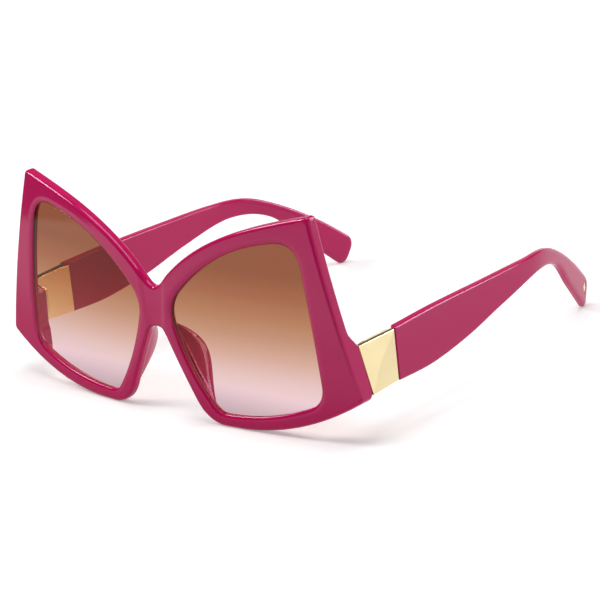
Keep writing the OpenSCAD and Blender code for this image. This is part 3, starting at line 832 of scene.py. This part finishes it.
def rim_section(i):
    """One closed section of the rim: opening, back, outside, front."""
    a, b = OPENING[i], OUTLINE[i]
    away = left_of(travel(OPENING, i))
    into = inset_way(i)
    k = lift(b) if i < BRIDGE_START else 0.0
    depth = rim_depth(a[0])
    span = np.linalg.norm(b - a)

    def behind_face(p, drop):
        return (p[0], face_depth(*p) + drop, max(p[1], 0))

    def on_front(p, drop):
        return (p[0], face_depth(*p) + hollow(*p) + drop, max(p[1], 0))

    lip = arc(LIP_W, LIP_R)
    groove = [(0, GROOVE_MID - GROOVE_W / 2), (GROOVE_DEEP, GROOVE_MID), (0, GROOVE_MID + GROOVE_W / 2)]
    back_lip = [(inset, depth - drop) for inset, drop in reversed(arc(LIP_R))]
    points = [behind_face(a + away * inset, drop) for inset, drop in lip + groove + back_lip]

    # The end piece's inner wall, with a fillet at its foot and a rounded edge
    foot = mix(WALL_FOOT, (END_IN - a[0]) / max(b[0] - a[0], 1), k)
    foot = max(foot, (LIP_R + WALL_LAND) / span)
    top = foot + mix(FLAT_SHARE, WALL_RUN / span, k)
    rim = top + mix(FLAT_SHARE, WALL_R / span, k)
    rise = rear_depth(mix(a, b, top), k) - rear_depth(mix(a, b, top), 0)
    fillet, rounding = (min(r, ROUND_LIMIT * rise) for r in (WALL_FILLET, WALL_R))
    lip_end = LIP_R / span
    knots = [
        ((mix(lip_end, foot, WALL_PULL), 0), (foot, 0), (mix(foot, top, WALL_PULL), fillet)),
        ((mix(foot, top, 1 - WALL_PULL), rise - rounding), (top, rise), (rim, rise)),
    ]
    for start, middle, end in knots:
        for n in range(WALL_STEPS + 1):
            share, height = curve3(np.array(start), np.array(middle), np.array(end), n / WALL_STEPS)
            p = mix(a, b, share)
            points.append((p[0], face_depth(*p) + rim_depth(p[0]) + height, max(p[1], 0)))

    rear_r = mix(EDGE_R, JOINT_EDGE_R, k * ease((b[1] - CORNER[1]) / (2 * EDGE_R)))
    for inset, drop in arc(rear_r):
        p = b + into * inset
        points.append((p[0], rear_depth(p, k) - drop, max(p[1], 0)))
    wall_rear = rear_depth(b, k) - rear_r
    wall_front = face_depth(*b) + hollow(*b) + EDGE_R
    for n in range(1, WALL_STEPS):
        points.append((b[0], mix(wall_rear, wall_front, n / WALL_STEPS), b[1]))
    for inset, drop in reversed(arc(EDGE_R)):
        points.append(on_front(b + into * inset, drop))
    outer, inner = b + into * EDGE_R, a + away * LIP_W
    for share in face_shares(outer, inner, b[1]):
        points.append(on_front(mix(outer, inner, share), 0))
    return points


FIRST_OUTER = 2 * (ROUND_STEPS + 1) + 3 + 2 * (WALL_STEPS + 1)
LAST_OUTER = FIRST_OUTER + 2 * (ROUND_STEPS + 1) + WALL_STEPS - 2


# Distances in metres
ON_MIDDLE = 1e-7
MERGE_DIST = 1e-6


def add_front():
    """Both halves of the front, with pockets for the hinge leaves and their screws."""
    sections = [rim_section(i) for i in range(COUNT)]
    width = len(sections[0])

    def on_middle(i, j):
        """The bridge's strip on the middle plane has no faces, because the halves join there."""
        return i >= BRIDGE_START and FIRST_OUTER <= j < LAST_OUTER

    points = [p for s in sections for p in s]
    faces = strips(COUNT, width, closed=True, skip=on_middle)
    piece = add_mesh("front", points, faces)
    shape = bmesh.new()
    shape.from_mesh(piece.data)
    half = shape.verts[:] + shape.edges[:] + shape.faces[:]
    bmesh.ops.mirror(shape, geom=half, axis="X", merge_dist=ON_MIDDLE)
    middle = [v for v in shape.verts if abs(v.co.x) < ON_MIDDLE]
    for v in middle:
        v.co.x = 0
    bmesh.ops.remove_doubles(shape, verts=middle, dist=MERGE_DIST)
    shape.to_mesh(piece.data)
    shape.free()
    turn_outwards(piece.data)
    pockets = []
    for side in SIDES.values():
        pockets.append(mirrored(leaf_plate("pocket", POCKET_GAP, PAST), side))
        for up in SCREW_UPS:
            place = (SCREW_OUT, JOINT_BACK, up)
            depth = LEAF_T + LEAF_SCREW_L + POCKET_GAP
            hole = plain_rod("hole", LEAF_SCREW_R + HOLD_GAP, 0, depth, place, INTO_RIM)
            pockets.append(mirrored(hole, side))
    combine(piece, pockets)
    finish_piece(piece, "frame_plastic", "front", ["front_frame"], FRONT_SHARP)


# Hinges, made as turned and milled pieces


def turned(name, profile, place, turn=None, steps=TURN_STEPS):
    """A solid turned round the Z axis from (radius, height) points, then turned and moved to place."""
    turn = turn or Matrix.Identity(3)
    angles = [2 * math.pi * n / steps for n in range(steps)]
    sections = []
    for radius, height in profile:
        ring = [Vector((radius * math.cos(a), radius * math.sin(a), height)) for a in angles]
        sections.append([tuple(turn @ p + Vector(place)) for p in ring])
    return loft(name, sections)


def plain_rod(name, radius, low, high, place, turn=None, steps=TURN_STEPS):
    return turned(name, [(radius, low), (radius, high)], place, turn, steps)


def chamfered(radius, low, high, cut):
    return [(radius - cut, low), (radius, low + cut), (radius, high - cut), (radius - cut, high)]


BOX_FACES = [(0, 1, 3, 2), (4, 6, 7, 5), (0, 4, 5, 1), (2, 3, 7, 6), (0, 2, 6, 4), (1, 5, 7, 3)]


def block_of(name, low, high):
    return add_mesh(name, list(product(*zip(low, high))), BOX_FACES)


def mirrored(piece, side):
    if side < 0:
        piece.data.transform(Matrix.Scale(-1, 4, Vector((1, 0, 0))))
        piece.data.flip_normals()
    return piece


INTO_RIM = Matrix.Rotation(math.pi / 2, 3, "X")
LEAF_OUT = AXIS_OUT - BARREL_R
LEAF_H = BARREL_L + LEAF_PAST_BARREL
SCREW_OUT = LEAF_OUT + LEAF_W - LEAF_SCREW_FROM_SIDE
SCREW_STEP = LEAF_H / 2 - LEAF_SCREW_FROM_END
SCREW_UPS = (HINGE_UP - SCREW_STEP, HINGE_UP + SCREW_STEP)


def leaf_plate(name, gap, proud=0.0):
    """The front leaf's plate with round corners, or with a gap the pocket that it lies in."""
    low = (LEAF_OUT - gap, HINGE_UP - LEAF_H / 2 - gap)
    high = (LEAF_OUT + LEAF_W + gap, HINGE_UP + LEAF_H / 2 + gap)
    ring = []
    radius = LEAF_CORNER_R + gap
    corners = ((high[0], high[1]), (low[0], high[1]), (low[0], low[1]), (high[0], low[1]))
    for n, (x, z) in enumerate(corners):
        middle_x = x - radius if x == high[0] else x + radius
        middle_z = z - radius if z == high[1] else z + radius
        for s in range(LEAF_CORNER_STEPS + 1):
            angle = math.pi / 2 * (n + s / LEAF_CORNER_STEPS)
            ring.append((middle_x + radius * math.cos(angle), middle_z + radius * math.sin(angle)))
    front, rear = JOINT_BACK - LEAF_T - gap, JOINT_BACK + proud
    count = len(ring)
    points = [(x, front, z) for x, z in ring] + [(x, rear, z) for x, z in ring]
    faces = [tuple(range(count)), tuple(range(2 * count - 1, count - 1, -1))]
    for n in range(count):
        m = (n + 1) % count
        faces.append((n, count + n, count + m, m))
    return add_mesh(name, points, faces)


def make_front_hinge(name):
    piece = leaf_plate(name, 0)
    webs, bores = [], []
    for low in (BARREL_LOW, BARREL_LOW + BARREL_L - END_KNUCKLE_L):
        axis = (AXIS_OUT, AXIS_BACK, low)
        webs.append(turned("barrel", chamfered(BARREL_R, 0, END_KNUCKLE_L, KNUCKLE_CUT), axis))
        web_low = (AXIS_OUT - BARREL_R, JOINT_BACK - LEAF_T / 2, low + WEB_INSET)
        web_high = (AXIS_OUT, AXIS_BACK, low + END_KNUCKLE_L - WEB_INSET)
        webs.append(block_of("web", web_low, web_high))
        bores.append(plain_rod("bore", PIN_R + HOLD_GAP, -PAST, END_KNUCKLE_L + PAST, axis))
    hole_r = LEAF_SCREW_R + HOLD_GAP
    sink = [(SCREW_HEAD_R + SINK_GAP, -SINK_OPEN), (hole_r, SCREW_SINK), (hole_r, SINK_DEEP)]
    for up in SCREW_UPS:
        bores.append(turned("hole", sink, (SCREW_OUT, JOINT_BACK, up), INTO_RIM))
    combine(piece, webs, "UNION")
    return combine(piece, bores)


def add_leaf_screws():
    """Four countersunk screws with crossed slots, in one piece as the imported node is."""
    end = LEAF_T + LEAF_SCREW_L
    profile = [
        (SCREW_HEAD_R, SCREW_SET),
        (SCREW_HEAD_R, SCREW_SET + SCREW_RIM),
        (LEAF_SCREW_R, SCREW_SINK + SCREW_RIM),
        (LEAF_SCREW_R, end - POINT_L),
        (POINT_R, end),
    ]
    screws = []
    for side in SIDES.values():
        for up in SCREW_UPS:
            screw = turned("screw", profile, (SCREW_OUT, JOINT_BACK, up), INTO_RIM)
            cuts = []
            for width, height in ((CROSS_L, CROSS_W), (CROSS_W, CROSS_L)):
                low = (SCREW_OUT - width / 2, JOINT_BACK - CROSS_LOW, up - height / 2)
                high = (SCREW_OUT + width / 2, JOINT_BACK + CROSS_HIGH, up + height / 2)
                cuts.append(block_of("cross", low, high))
            combine(screw, cuts)
            screws.append(mirrored(screw, side))
    shape = bmesh.new()
    for screw in screws:
        shape.from_mesh(screw.data)
    piece = screws[0]
    shape.to_mesh(piece.data)
    shape.free()
    for other in screws[1:]:
        bpy.data.objects.remove(other)
    piece.name = "leaf_screw_set"
    finish_piece(piece, "hinge_steel", "front", ["leaf_screws"], METAL_SHARP)


def make_hinge_screw(name):
    """The pin with its domed and slotted head."""
    shoulder = BARREL_L + PIN_UP
    pin = [(PIN_R - PIN_CUT, PIN_UP), (PIN_R, PIN_UP + PIN_CUT), (PIN_R, shoulder)]
    dome = [(HEAD_R, shoulder)]
    for n in range(DOME_STEPS):
        angle = math.pi / 2 * n / DOME_STEPS
        radius = HEAD_R * mix(DOME_FLAT, 1, math.cos(angle))
        dome.append((radius, BARREL_L + HEAD_H * mix(DOME_FOOT, 1, math.sin(angle))))
    profile = pin + dome + [(HEAD_MIDDLE_R, BARREL_L + HEAD_H)]
    piece = turned(name, profile, (AXIS_OUT, AXIS_BACK, BARREL_LOW))
    top = BARREL_LOW + BARREL_L
    low = (AXIS_OUT - 2 * HEAD_R, AXIS_BACK - SLOT_W / 2, top + HEAD_H / 2)
    high = (AXIS_OUT + 2 * HEAD_R, AXIS_BACK + SLOT_W / 2, top + 2 * HEAD_H)
    return combine(piece, [block_of("slot", low, high)])


TONGUE_X = ARM_IN + (ARM_T - LEAF_T) / 2
MID_LOW = HINGE_UP - MID_KNUCKLE_L / 2
MID_AXIS = (AXIS_OUT, AXIS_BACK, MID_LOW)
TONGUE_FRONT = JOINT_BACK + SWING_GAP + JOINT_GAP


def tongue_blocks(gap, front=TONGUE_FRONT):
    """The temple leaf's tongue and neck, or with a gap the slot for them in the block."""
    neck_x = AXIS_OUT if gap == 0 else ARM_IN - SWING_GAP
    neck_high = MID_LOW + MID_KNUCKLE_L + gap
    return [
        block_of(
            "tongue",
            (TONGUE_X - gap, front, HINGE_UP - TONGUE_H / 2 - gap),
            (TONGUE_X + LEAF_T + gap, TONGUE_FRONT + TONGUE_L + gap, HINGE_UP + TONGUE_H / 2 + gap),
        ),
        block_of(
            "neck",
            (neck_x, AXIS_BACK - NECK_L / 2 - gap, MID_LOW - gap),
            (TONGUE_X + LEAF_T / 2, AXIS_BACK + NECK_L / 2 + gap, neck_high),
        ),
    ]


def make_temple_hinge(name):
    piece = turned(name, chamfered(BARREL_R, 0, MID_KNUCKLE_L, KNUCKLE_CUT), MID_AXIS)
    combine(piece, tongue_blocks(0), "UNION")
    bore = plain_rod("bore", PIN_R + PIN_GAP, -PAST, MID_KNUCKLE_L + PAST, MID_AXIS)
    return combine(piece, [bore])


# Core wire


def wire_turn():
    climb = math.asin((WIRE_END_UP - HINGE_UP) / WIRE_L)
    lean = Matrix.Rotation(math.radians(WIRE_LEAN), 3, "Z")
    return lean @ Matrix.Rotation(climb - math.pi / 2, 3, "X")


WIRE_PLACE = (ARM_IN + ARM_T / 2, ARM_START - WIRE_HELD, HINGE_UP)


def wire_bore():
    radius, high = WIRE_D / 2 + WIRE_GAP, WIRE_L + WIRE_GAP
    return plain_rod("bore", radius, -WIRE_GAP, high, WIRE_PLACE, wire_turn(), WIRE_STEPS)


def make_core_wire(name):
    ends = chamfered(WIRE_D / 2, 0, WIRE_L, WIRE_CUT)
    return turned(name, ends, WIRE_PLACE, wire_turn(), WIRE_STEPS)


# Hinge blocks


def side_x(z):
    """The slanting side of the front at a height."""
    return CORNER[0] - (z - CORNER[1]) * (CORNER[0] - TIP[0]) / (TIP[1] - CORNER[1])


def block_shape(name):
    """The block with its pyramid. Its top rises from the outer bevel to a crest, and falls from there
    to the inside, most at the block's ends."""
    front, back = JOINT_BACK + BLOCK_GAP, ARM_START - BLOCK_GAP
    back_in = back + (JOINT_SLANT - ARM_TAPER) * ARM_T
    front_top, front_low = ARM_TOP - BLOCK_FRONT_INSET, ARM_LOW + BLOCK_FRONT_INSET
    back_top, back_low = ARM_TOP - BLOCK_INSET, ARM_LOW + BLOCK_INSET
    back_out = ARM_OUT - BLOCK_INSET
    rows = []
    for n in range(BLOCK_STEPS + 1):
        t = n / BLOCK_STEPS
        y, y_in = mix(front, back, t), mix(front, back_in, t)
        top, low = mix(front_top, back_top, t), mix(front_low, back_low, t)
        x_top, x_low = (mix(side_x(z), back_out, t) for z in (front_top, front_low))
        fall = mix(BLOCK_FALL_ENDS, BLOCK_FALL_MIDDLE, 4 * t * (1 - t))
        edge = top - CREST_UP
        row = [(x_low - BEVEL_H, y, low), (x_low, y, low + BEVEL_W)]
        row += [(x_top, y, edge - BEVEL_W), (x_top - BEVEL_H, y, edge)]
        crest = x_top - BEVEL_H - CREST_IN
        for m in range(BLOCK_TOP_ROWS + 1):
            s = m / BLOCK_TOP_ROWS
            x = mix(crest, ARM_IN, s)
            across = (x_top - BEVEL_H - x) / (x_top - BEVEL_H - ARM_IN)
            row.append((x, mix(y, y_in, across), top - fall * s**BLOCK_FALL_POWER))
        row.append((ARM_IN, y_in, low))
        rows.append(row)
    apex_out = mix(side_x(HINGE_UP), ARM_OUT, APEX_BACK) + PYRAMID_RISE
    apex = (apex_out, mix(front, back, APEX_BACK), HINGE_UP + APEX_UP)
    width = len(rows[0])
    points = [p for row in rows for p in row] + [apex]
    # The pyramid takes the place of the strip on the outside
    faces = strips(len(rows), width, skip=lambda k, j: j == 1)
    last = len(points) - 1
    for k in range(BLOCK_STEPS):
        for j in (1, 2):
            faces.append((k * width + j, (k + 1) * width + j, last))
    for k in (0, BLOCK_STEPS):
        faces.append((k * width + 1, k * width + 2, last))
        faces.append(tuple(range(k * width, (k + 1) * width)))
    return add_mesh(name, points, faces)


def make_hinge_block(name):
    piece = block_shape(name)
    round_edges(piece, BLOCK_EDGE_R, angle=12)
    slot = tongue_blocks(POCKET_GAP, JOINT_BACK - PAST)
    low, high = -POCKET_GAP, MID_KNUCKLE_L + POCKET_GAP
    swing = plain_rod("swing", BARREL_R + SWING_GAP, low, high, MID_AXIS)
    return combine(piece, slot + [swing, wire_bore()])


# Temples

ARM_UPPER = [
    (ARM_START, ARM_TOP),
    (ARM_START + 20, 31.6),
    (ARM_END - 71.5, 31.8),
    (ARM_END - 49.5, 31.8),
    (ARM_END - 35, 30.8),
    (ARM_END - 22, 25),
    (ARM_END - 10, 17),
    (ARM_END - 1, 9.5),
]
ARM_LOWER = [
    (ARM_START, ARM_LOW),
    (ARM_START + 16, 14.1),
    (ARM_END - 81.5, 16.9),
    (ARM_END - 63.5, 21.5),
    (ARM_END - 42, 25.6),
    (ARM_END - 27.5, 22.6),
    (ARM_END - 17, 12),
    (ARM_END - 5.5, 0.6),
]
SPAN_STEPS = 18


def bend_part(y):
    d = y - ARM_END + BEND_BACK
    return (math.hypot(d, BEND_SOFT) + d) / 2


def arm_x(y):
    """Distance of the temple's outer face from the middle plane."""
    return ARM_OUT - ARM_TAPER * (y - ARM_START) - BEND_LEAN * (bend_part(y) - bend_part(ARM_START))


def arm_slope(y):
    return arm_x(y + 0.5) - arm_x(y - 0.5)


def arm_point(p, under):
    """A point of the temple at a depth under its outer face."""
    slope = arm_slope(p[0])
    scale = math.hypot(1, slope)
    slant = JOINT_SLANT * ease(1 - (p[0] - ARM_START) / SLANT_RUN)
    return (arm_x(p[0]) - under / scale, p[0] + under * (slope / scale + slant), max(p[1], 0))


FLAT_ROWS = 5


def arm_section(upper, lower, pull, thin):
    """One closed section between an upper and a lower point, drawn in by pull and thin."""
    way = unit(upper - lower)
    u, low = upper - way * pull, lower + way * pull
    t = mix(ARM_T, ARM_END_T, (upper[0] - ARM_START) / ARM_L) - thin
    r = min(ARM_R, (t - thin) / 2 - EDGE_LEFT)
    soft = ease((upper[0] - ARM_END + SOFT_FROM_END) / SOFT_RUN)
    width = min(mix(r, ARM_SOFT_W, soft), ROUND_LIMIT * np.linalg.norm(u - low))
    quarter = arc(width, r)
    inner_up, inner_low = u - way * width, low + way * width
    points = [arm_point(u - way * inset, thin + drop) for inset, drop in quarter]
    points += [arm_point(u - way * inset, t - drop) for inset, drop in reversed(quarter)]
    points += [arm_point(mix(inner_up, inner_low, n / FLAT_ROWS), t) for n in range(1, FLAT_ROWS)]
    points += [arm_point(low + way * inset, t - drop) for inset, drop in quarter]
    points += [arm_point(low + way * inset, thin + drop) for inset, drop in reversed(quarter)]
    points += [arm_point(mix(inner_low, inner_up, n / FLAT_ROWS), thin) for n in range(1, FLAT_ROWS)]
    return points


END_STEPS = 9
START_STEPS = 4


def arm_shape(name):
    upper, lower = smooth_run(ARM_UPPER, SPAN_STEPS), smooth_run(ARM_LOWER, SPAN_STEPS)
    ahead = unit(upper[-1] - upper[-2])
    sections = []
    for n in range(START_STEPS):
        angle = math.pi / 2 * (1 - n / START_STEPS)
        on = np.array([ARM_START_R * (1 - math.sin(angle)), 0])
        inset = ARM_START_R * (1 - math.cos(angle))
        sections.append(arm_section(upper[0] + on, lower[0] + on, inset, inset))
    upper[0], lower[0] = upper[0] + [ARM_START_R, 0], lower[0] + [ARM_START_R, 0]
    sections += [arm_section(u, w, 0, 0) for u, w in zip(upper, lower)]
    for n in range(1, END_STEPS + 1):
        angle = math.pi / 2 * n / END_STEPS
        on = ahead * TIP_R * math.sin(angle)
        fall = 1 - math.cos(angle)
        sections.append(arm_section(upper[-1] + on, lower[-1] + on, TIP_R * fall, ARM_R * fall))
    return loft(name, sections)


def inlay_frame():
    """Turn and place of the inlay on the temple's outer face, with its own Z out of the face."""
    y = ARM_END - INLAY_FROM_END
    place = Vector(arm_point((y, INLAY_UP), 0))
    turn = (
        Matrix.Rotation(-math.atan(arm_slope(y)), 3, "Z")
        @ Matrix.Rotation(math.pi / 2, 3, "Y")
        @ Matrix.Rotation(math.radians(INLAY_TURN), 3, "Z")
    )
    return turn, place


def lozenge(name, gap, low, high, pillow=0.0):
    turn, place = inlay_frame()
    long, wide = INLAY_L / 2 + gap, INLAY_W / 2 + gap
    corners = [(long, 0), (0, wide), (-long, 0), (0, -wide)]
    points = [(x, y, low) for x, y in corners] + [(x, y, high) for x, y in corners]
    faces = [(3, 2, 1, 0)] + [(n, (n + 1) % 4, 4 + (n + 1) % 4, 4 + n) for n in range(4)]
    if pillow:
        points.append((0, 0, high + pillow))
        faces += [(4 + n, 4 + (n + 1) % 4, 8) for n in range(4)]
    else:
        faces.append((4, 5, 6, 7))
    return add_mesh(name, [tuple(turn @ Vector(p) + place) for p in points], faces)


def make_temple(name):
    piece = arm_shape(name)
    recess = lozenge("recess", INLAY_GAP, -INLAY_T - INLAY_GAP, PAST)
    return combine(piece, [recess, wire_bore()])


def make_inlay(name):
    piece = lozenge(name, 0, -INLAY_T, -INLAY_SUNK, INLAY_PILLOW)
    round_edges(piece, INLAY_EDGE_R, angle=5)
    return piece


# Lenses and nose pads


def make_lens(name):
    middle = np.array([(EYE_NOSE[0] + EYE_CORNER[0]) / 2, (EYE_TIP[1] + EYE_TOE[1]) / 2])
    bevel_out = GROOVE_DEEP - LENS_GAP
    bevel_half = GROOVE_W / 2 - LENS_GAP
    lens_back = LENS_SET + LENS_T
    inner = [n / LENS_RINGS for n in range(1, LENS_RINGS)]
    rings = [(r, -LENS_GAP, LENS_SET) for r in inner]
    rings += [
        (1, -LENS_GAP - LENS_CUT, LENS_SET),
        (1, -LENS_GAP, LENS_SET + LENS_CUT),
        (1, -LENS_GAP, GROOVE_MID - bevel_half),
        (1, bevel_out, GROOVE_MID),
        (1, -LENS_GAP, GROOVE_MID + bevel_half),
        (1, -LENS_GAP, lens_back - LENS_CUT),
        (1, -LENS_GAP - LENS_CUT, lens_back),
    ]
    rings += [(r, -LENS_GAP, lens_back) for r in reversed(inner)]
    points = []
    for share, out, drop in rings:
        for i in range(COUNT):
            p = mix(middle, OPENING[i] + left_of(travel(OPENING, i)) * out, share)
            points.append((p[0], face_depth(*p) + drop, p[1]))
    faces = strips(len(rings), COUNT)
    first = len(points)
    points += [(middle[0], face_depth(*middle) + d, middle[1]) for d in (LENS_SET, lens_back)]
    last_row = (len(rings) - 1) * COUNT
    for i in range(COUNT):
        j = (i + 1) % COUNT
        faces.append((j, i, first))
        faces.append((last_row + i, last_row + j, first + 1))
    return add_mesh(name, points, faces)


def paint_groove_on_matt_edge(lens):
    """Gives the faces round the lens a matt ground edge with a painted reflection of the groove's red.
    """
    lens.data.materials.append(MATT_EDGE_PAINTED_GROOVE)
    for face in lens.data.polygons:
        face.material_index = int(abs(face.normal.y) < EDGE_FACING)


def pad_section(z):
    """One level of a nose pad: a closed ring from the bond with the rim, over the crest and back."""
    u = (z - PAD_LOW) / (PAD_TOP - PAD_LOW)
    h = mix(PAD_END_RISE, PAD_RISE, math.sin(math.pi * u**PAD_PEAK) ** PAD_FULL)
    x = mix(TOE[0], ARCH[0], (z - TOE[1]) / (ARCH[1] - TOE[1])) + PAD_OFFSET
    w = PAD_T / 2
    lean = PAD_LEAN * u * u * h / PAD_RISE
    ring = smooth_run([(w * side + lean * over, h * up) for side, over, up in PAD_PROFILE], PAD_SMOOTH)
    return [(x + o, face_depth(x + o, z) + rim_depth(x + o) + PAD_BOND + back, z) for o, back in ring]


def make_pad(name):
    levels = [mix(PAD_LOW, PAD_TOP, n / PAD_LEVELS) for n in range(PAD_LEVELS + 1)]
    return loft(name, [pad_section(z) for z in levels])


# The whole

# Pieces that stand in pairs: name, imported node, slot, whether on the temple's body, sharp angle, maker
PAIRS = [
    ("tinted", "lens", "lens_tint", False, 25, make_lens),
    ("nose_flange", "nose_pad", "frame_plastic", False, FRONT_SHARP, make_pad),
    ("hinge_leaf", "front_hinge", "hinge_steel", False, METAL_SHARP, make_front_hinge),
    ("pivot_screw", "hinge_screw", "hinge_steel", False, METAL_SHARP, make_hinge_screw),
    ("temple_leaf", "temple_hinge", "hinge_steel", True, METAL_SHARP, make_temple_hinge),
    ("reinforcing_wire", "core_wire", "hinge_steel", True, METAL_SHARP, make_core_wire),
    ("gold_block", "hinge_block", "gold_metal", True, 3, make_hinge_block),
    ("arm", "temple", "frame_plastic", True, 32, make_temple),
    ("gold_inlay", "tip_inlay", "gold_metal", True, 5, make_inlay),
]


def add_glasses():
    """Every piece. Those in pairs are made on the left, and mirrored for the right."""
    add_front()
    add_leaf_screws()
    for word, side in SIDES.items():
        for name, node, slot, on_arm, sharp_angle, make in PAIRS:
            piece = mirrored(make(f"{name}_{word}"), side)
            body = f"{word}_arm" if on_arm else "front"
            finish_piece(piece, slot, body, [f"{node}_{word}"], sharp_angle)
            if slot == "lens_tint":
                paint_groove_on_matt_edge(piece)


# Studio

FLOOR_HALF = 3.0
FLOOR_COLOUR = (0.82, 0.82, 0.82, 1)
# What the camera sees the floor glow by: little under the glasses, where their shadows stay, more beside
# them on the wearer's left and in front of them, where this painted glow whitens their shadows, most far
# back
GLOW_NEAR, GLOW_OUTSIDE, GLOW_FAR = 0.3, 0.5, 1.0
GLOW_THROUGH_LENS = 0.06
BESIDE_RUN = (0.065, 0.11)
BEFORE_RUN = (-0.071, -0.081)
FAR_RUN = (0.1, 0.6)
# What reflections find on the floor, from far ahead to under the glasses, greyed close in front of them
# by a painted shadow and painted reflection of the rims
AHEAD_RUN = (-0.6, 0.0)
AHEAD = [(0.2, 1), (0.5, 1.1), (0.66, 1.1), (0.74, 0.9), (0.8, 0.83)]
AHEAD += [(0.83, 0.72), (0.858, 0.45), (0.88, 0.35), (0.93, 1)]
# And from the middle to the wearer's left, with a painted shadow of the glasses a little beside them
LEFT_RUN = (0.0, 0.2)
LEFT = [(0.35, 1), (0.5, 0.88), (0.56, 0.9), (0.65, 1)]
# Far to the wearer's right it is dark
RIGHT_RUN = (-0.335, -0.31)
RIGHT_DARK = 0.1


def add_floor():
    """A pale floor, white to the camera and through the lenses, with the soft shadows left in under the
    glasses and whitened beside and in front of them by a painted glow.

    Reflections find it white at a middle distance, greyer close in front of the glasses and a little to
    their left, where a painted shadow and reflection of the glasses lies, and dark far to their right.
    """
    half = FLOOR_HALF
    corners = [(-half, -half, 0), (half, -half, 0), (half, half, 0), (-half, half, 0)]
    mesh = bpy.data.meshes.new("floor")
    mesh.from_pydata(corners, [], [(0, 1, 2, 3)])
    floor = add_object("floor", mesh)
    material, tree, shader = new_material("white_floor")
    tree.fill(shader, {"Base Color": FLOOR_COLOUR, "Roughness": 0.9, "Specular IOR Level": 0.0})
    place, rays = tree.place(), tree.rays()
    # Painted glow that whitens the glasses' shadows beside them and in front of them
    beside = tree.remap(place["X"], BESIDE_RUN, (GLOW_NEAR, GLOW_OUTSIDE))
    before = tree.remap(place["Y"], BEFORE_RUN, (GLOW_NEAR, GLOW_OUTSIDE))
    far = tree.remap(place["Y"], FAR_RUN, (GLOW_NEAR, GLOW_FAR))
    seen = tree.math("MULTIPLY", rays["Is Camera Ray"], tree.math("MAXIMUM", far, beside, before))
    through = tree.math("MULTIPLY", rays["Is Transmission Ray"], GLOW_THROUGH_LENS)
    glow = tree.add("Emission", "Emission", {"Strength": tree.math("ADD", seen, through)})
    total = tree.add("AddShader", "Shader", {0: shader.outputs["BSDF"], 1: glow})

    # The floor as reflections see it, with the painted shadow of the glasses close in front and a little
    # to their left
    ahead = tree.grey_ramp(tree.remap(place["Y"], AHEAD_RUN), AHEAD)
    left = tree.grey_ramp(tree.remap(place["X"], LEFT_RUN), LEFT)
    right = tree.remap(place["X"], RIGHT_RUN, (RIGHT_DARK, 1))
    mirror = tree.add("Emission", "Emission", {"Strength": tree.math("MULTIPLY", ahead, left, right)})
    tree.blend_surface(rays["Is Glossy Ray"], total, mirror)
    mesh.materials.append(material)


AMBIENT = (0.2, 0.2, 0.2, 1)
PALE = (1, 1, 1, 1)
DIM = (0.14, 0.14, 0.14, 1)
DARK = (0.035, 0.035, 0.037, 1)
BACKDROP = [(0.12, PALE), (0.36, DIM), (0.75, DIM), (0.9, DARK)]
BACKDROP_RUN = (-0.1, 0.45)
BACKDROP_ON_LEFT = 0.8


def add_world():
    """White where it is seen, and dim light all round. Reflections find a backdrop behind the glasses
    and to their left, pale at its foot and dim above, and a dark room elsewhere."""
    world = bpy.data.worlds.new("studio")
    bpy.context.scene.world = world
    tree = Tree(world)
    way, rays = tree.place("Generated"), tree.rays()
    backdrop = tree.ramp(way["Z"], BACKDROP)
    on_left = tree.math("MULTIPLY", tree.math("MAXIMUM", way["X"], 0.0), BACKDROP_ON_LEFT)
    reach = tree.remap(tree.math("ADD", way["Y"], on_left), BACKDROP_RUN)
    room = tree.blend_colour(reach, DARK, backdrop)
    unseen = tree.blend_colour(rays["Is Glossy Ray"], AMBIENT, room)
    seen = tree.math("MAXIMUM", rays["Is Camera Ray"], rays["Is Transmission Ray"])
    tree.fill(tree.nodes["Background"], {"Color": tree.blend_colour(seen, unseen, PALE)})


def add_softbox(name, place, size, power):
    """A square lamp that faces the origin."""
    data = bpy.data.lights.new(name, "AREA")
    data.shape = "RECTANGLE"
    data.size = data.size_y = size
    data.energy = power
    light = add_object(name, data)
    light.location = place
    light.rotation_mode = "QUATERNION"
    light.rotation_quaternion = (-Vector(place)).to_track_quat("-Z", "Y")
    light.visible_transmission = False
    return light


def add_studio():
    add_floor()
    add_world()
    add_softbox("overhead", place=(0, 0.02, 0.9), size=0.65, power=4.8)
    add_softbox("key", place=(-0.8, -0.45, 0.8), size=0.36, power=5.2)
    add_softbox("right", place=(0.8, 0.8, 0.42), size=0.42, power=3.4)
    rim_light = add_softbox("rim_light", place=(0.5, 0.75, 0.66), size=0.4, power=4)
    rim_light.visible_diffuse = False
    bpy.context.scene.view_settings.view_transform = "Standard"


add_camera()
add_glasses()
add_studio()
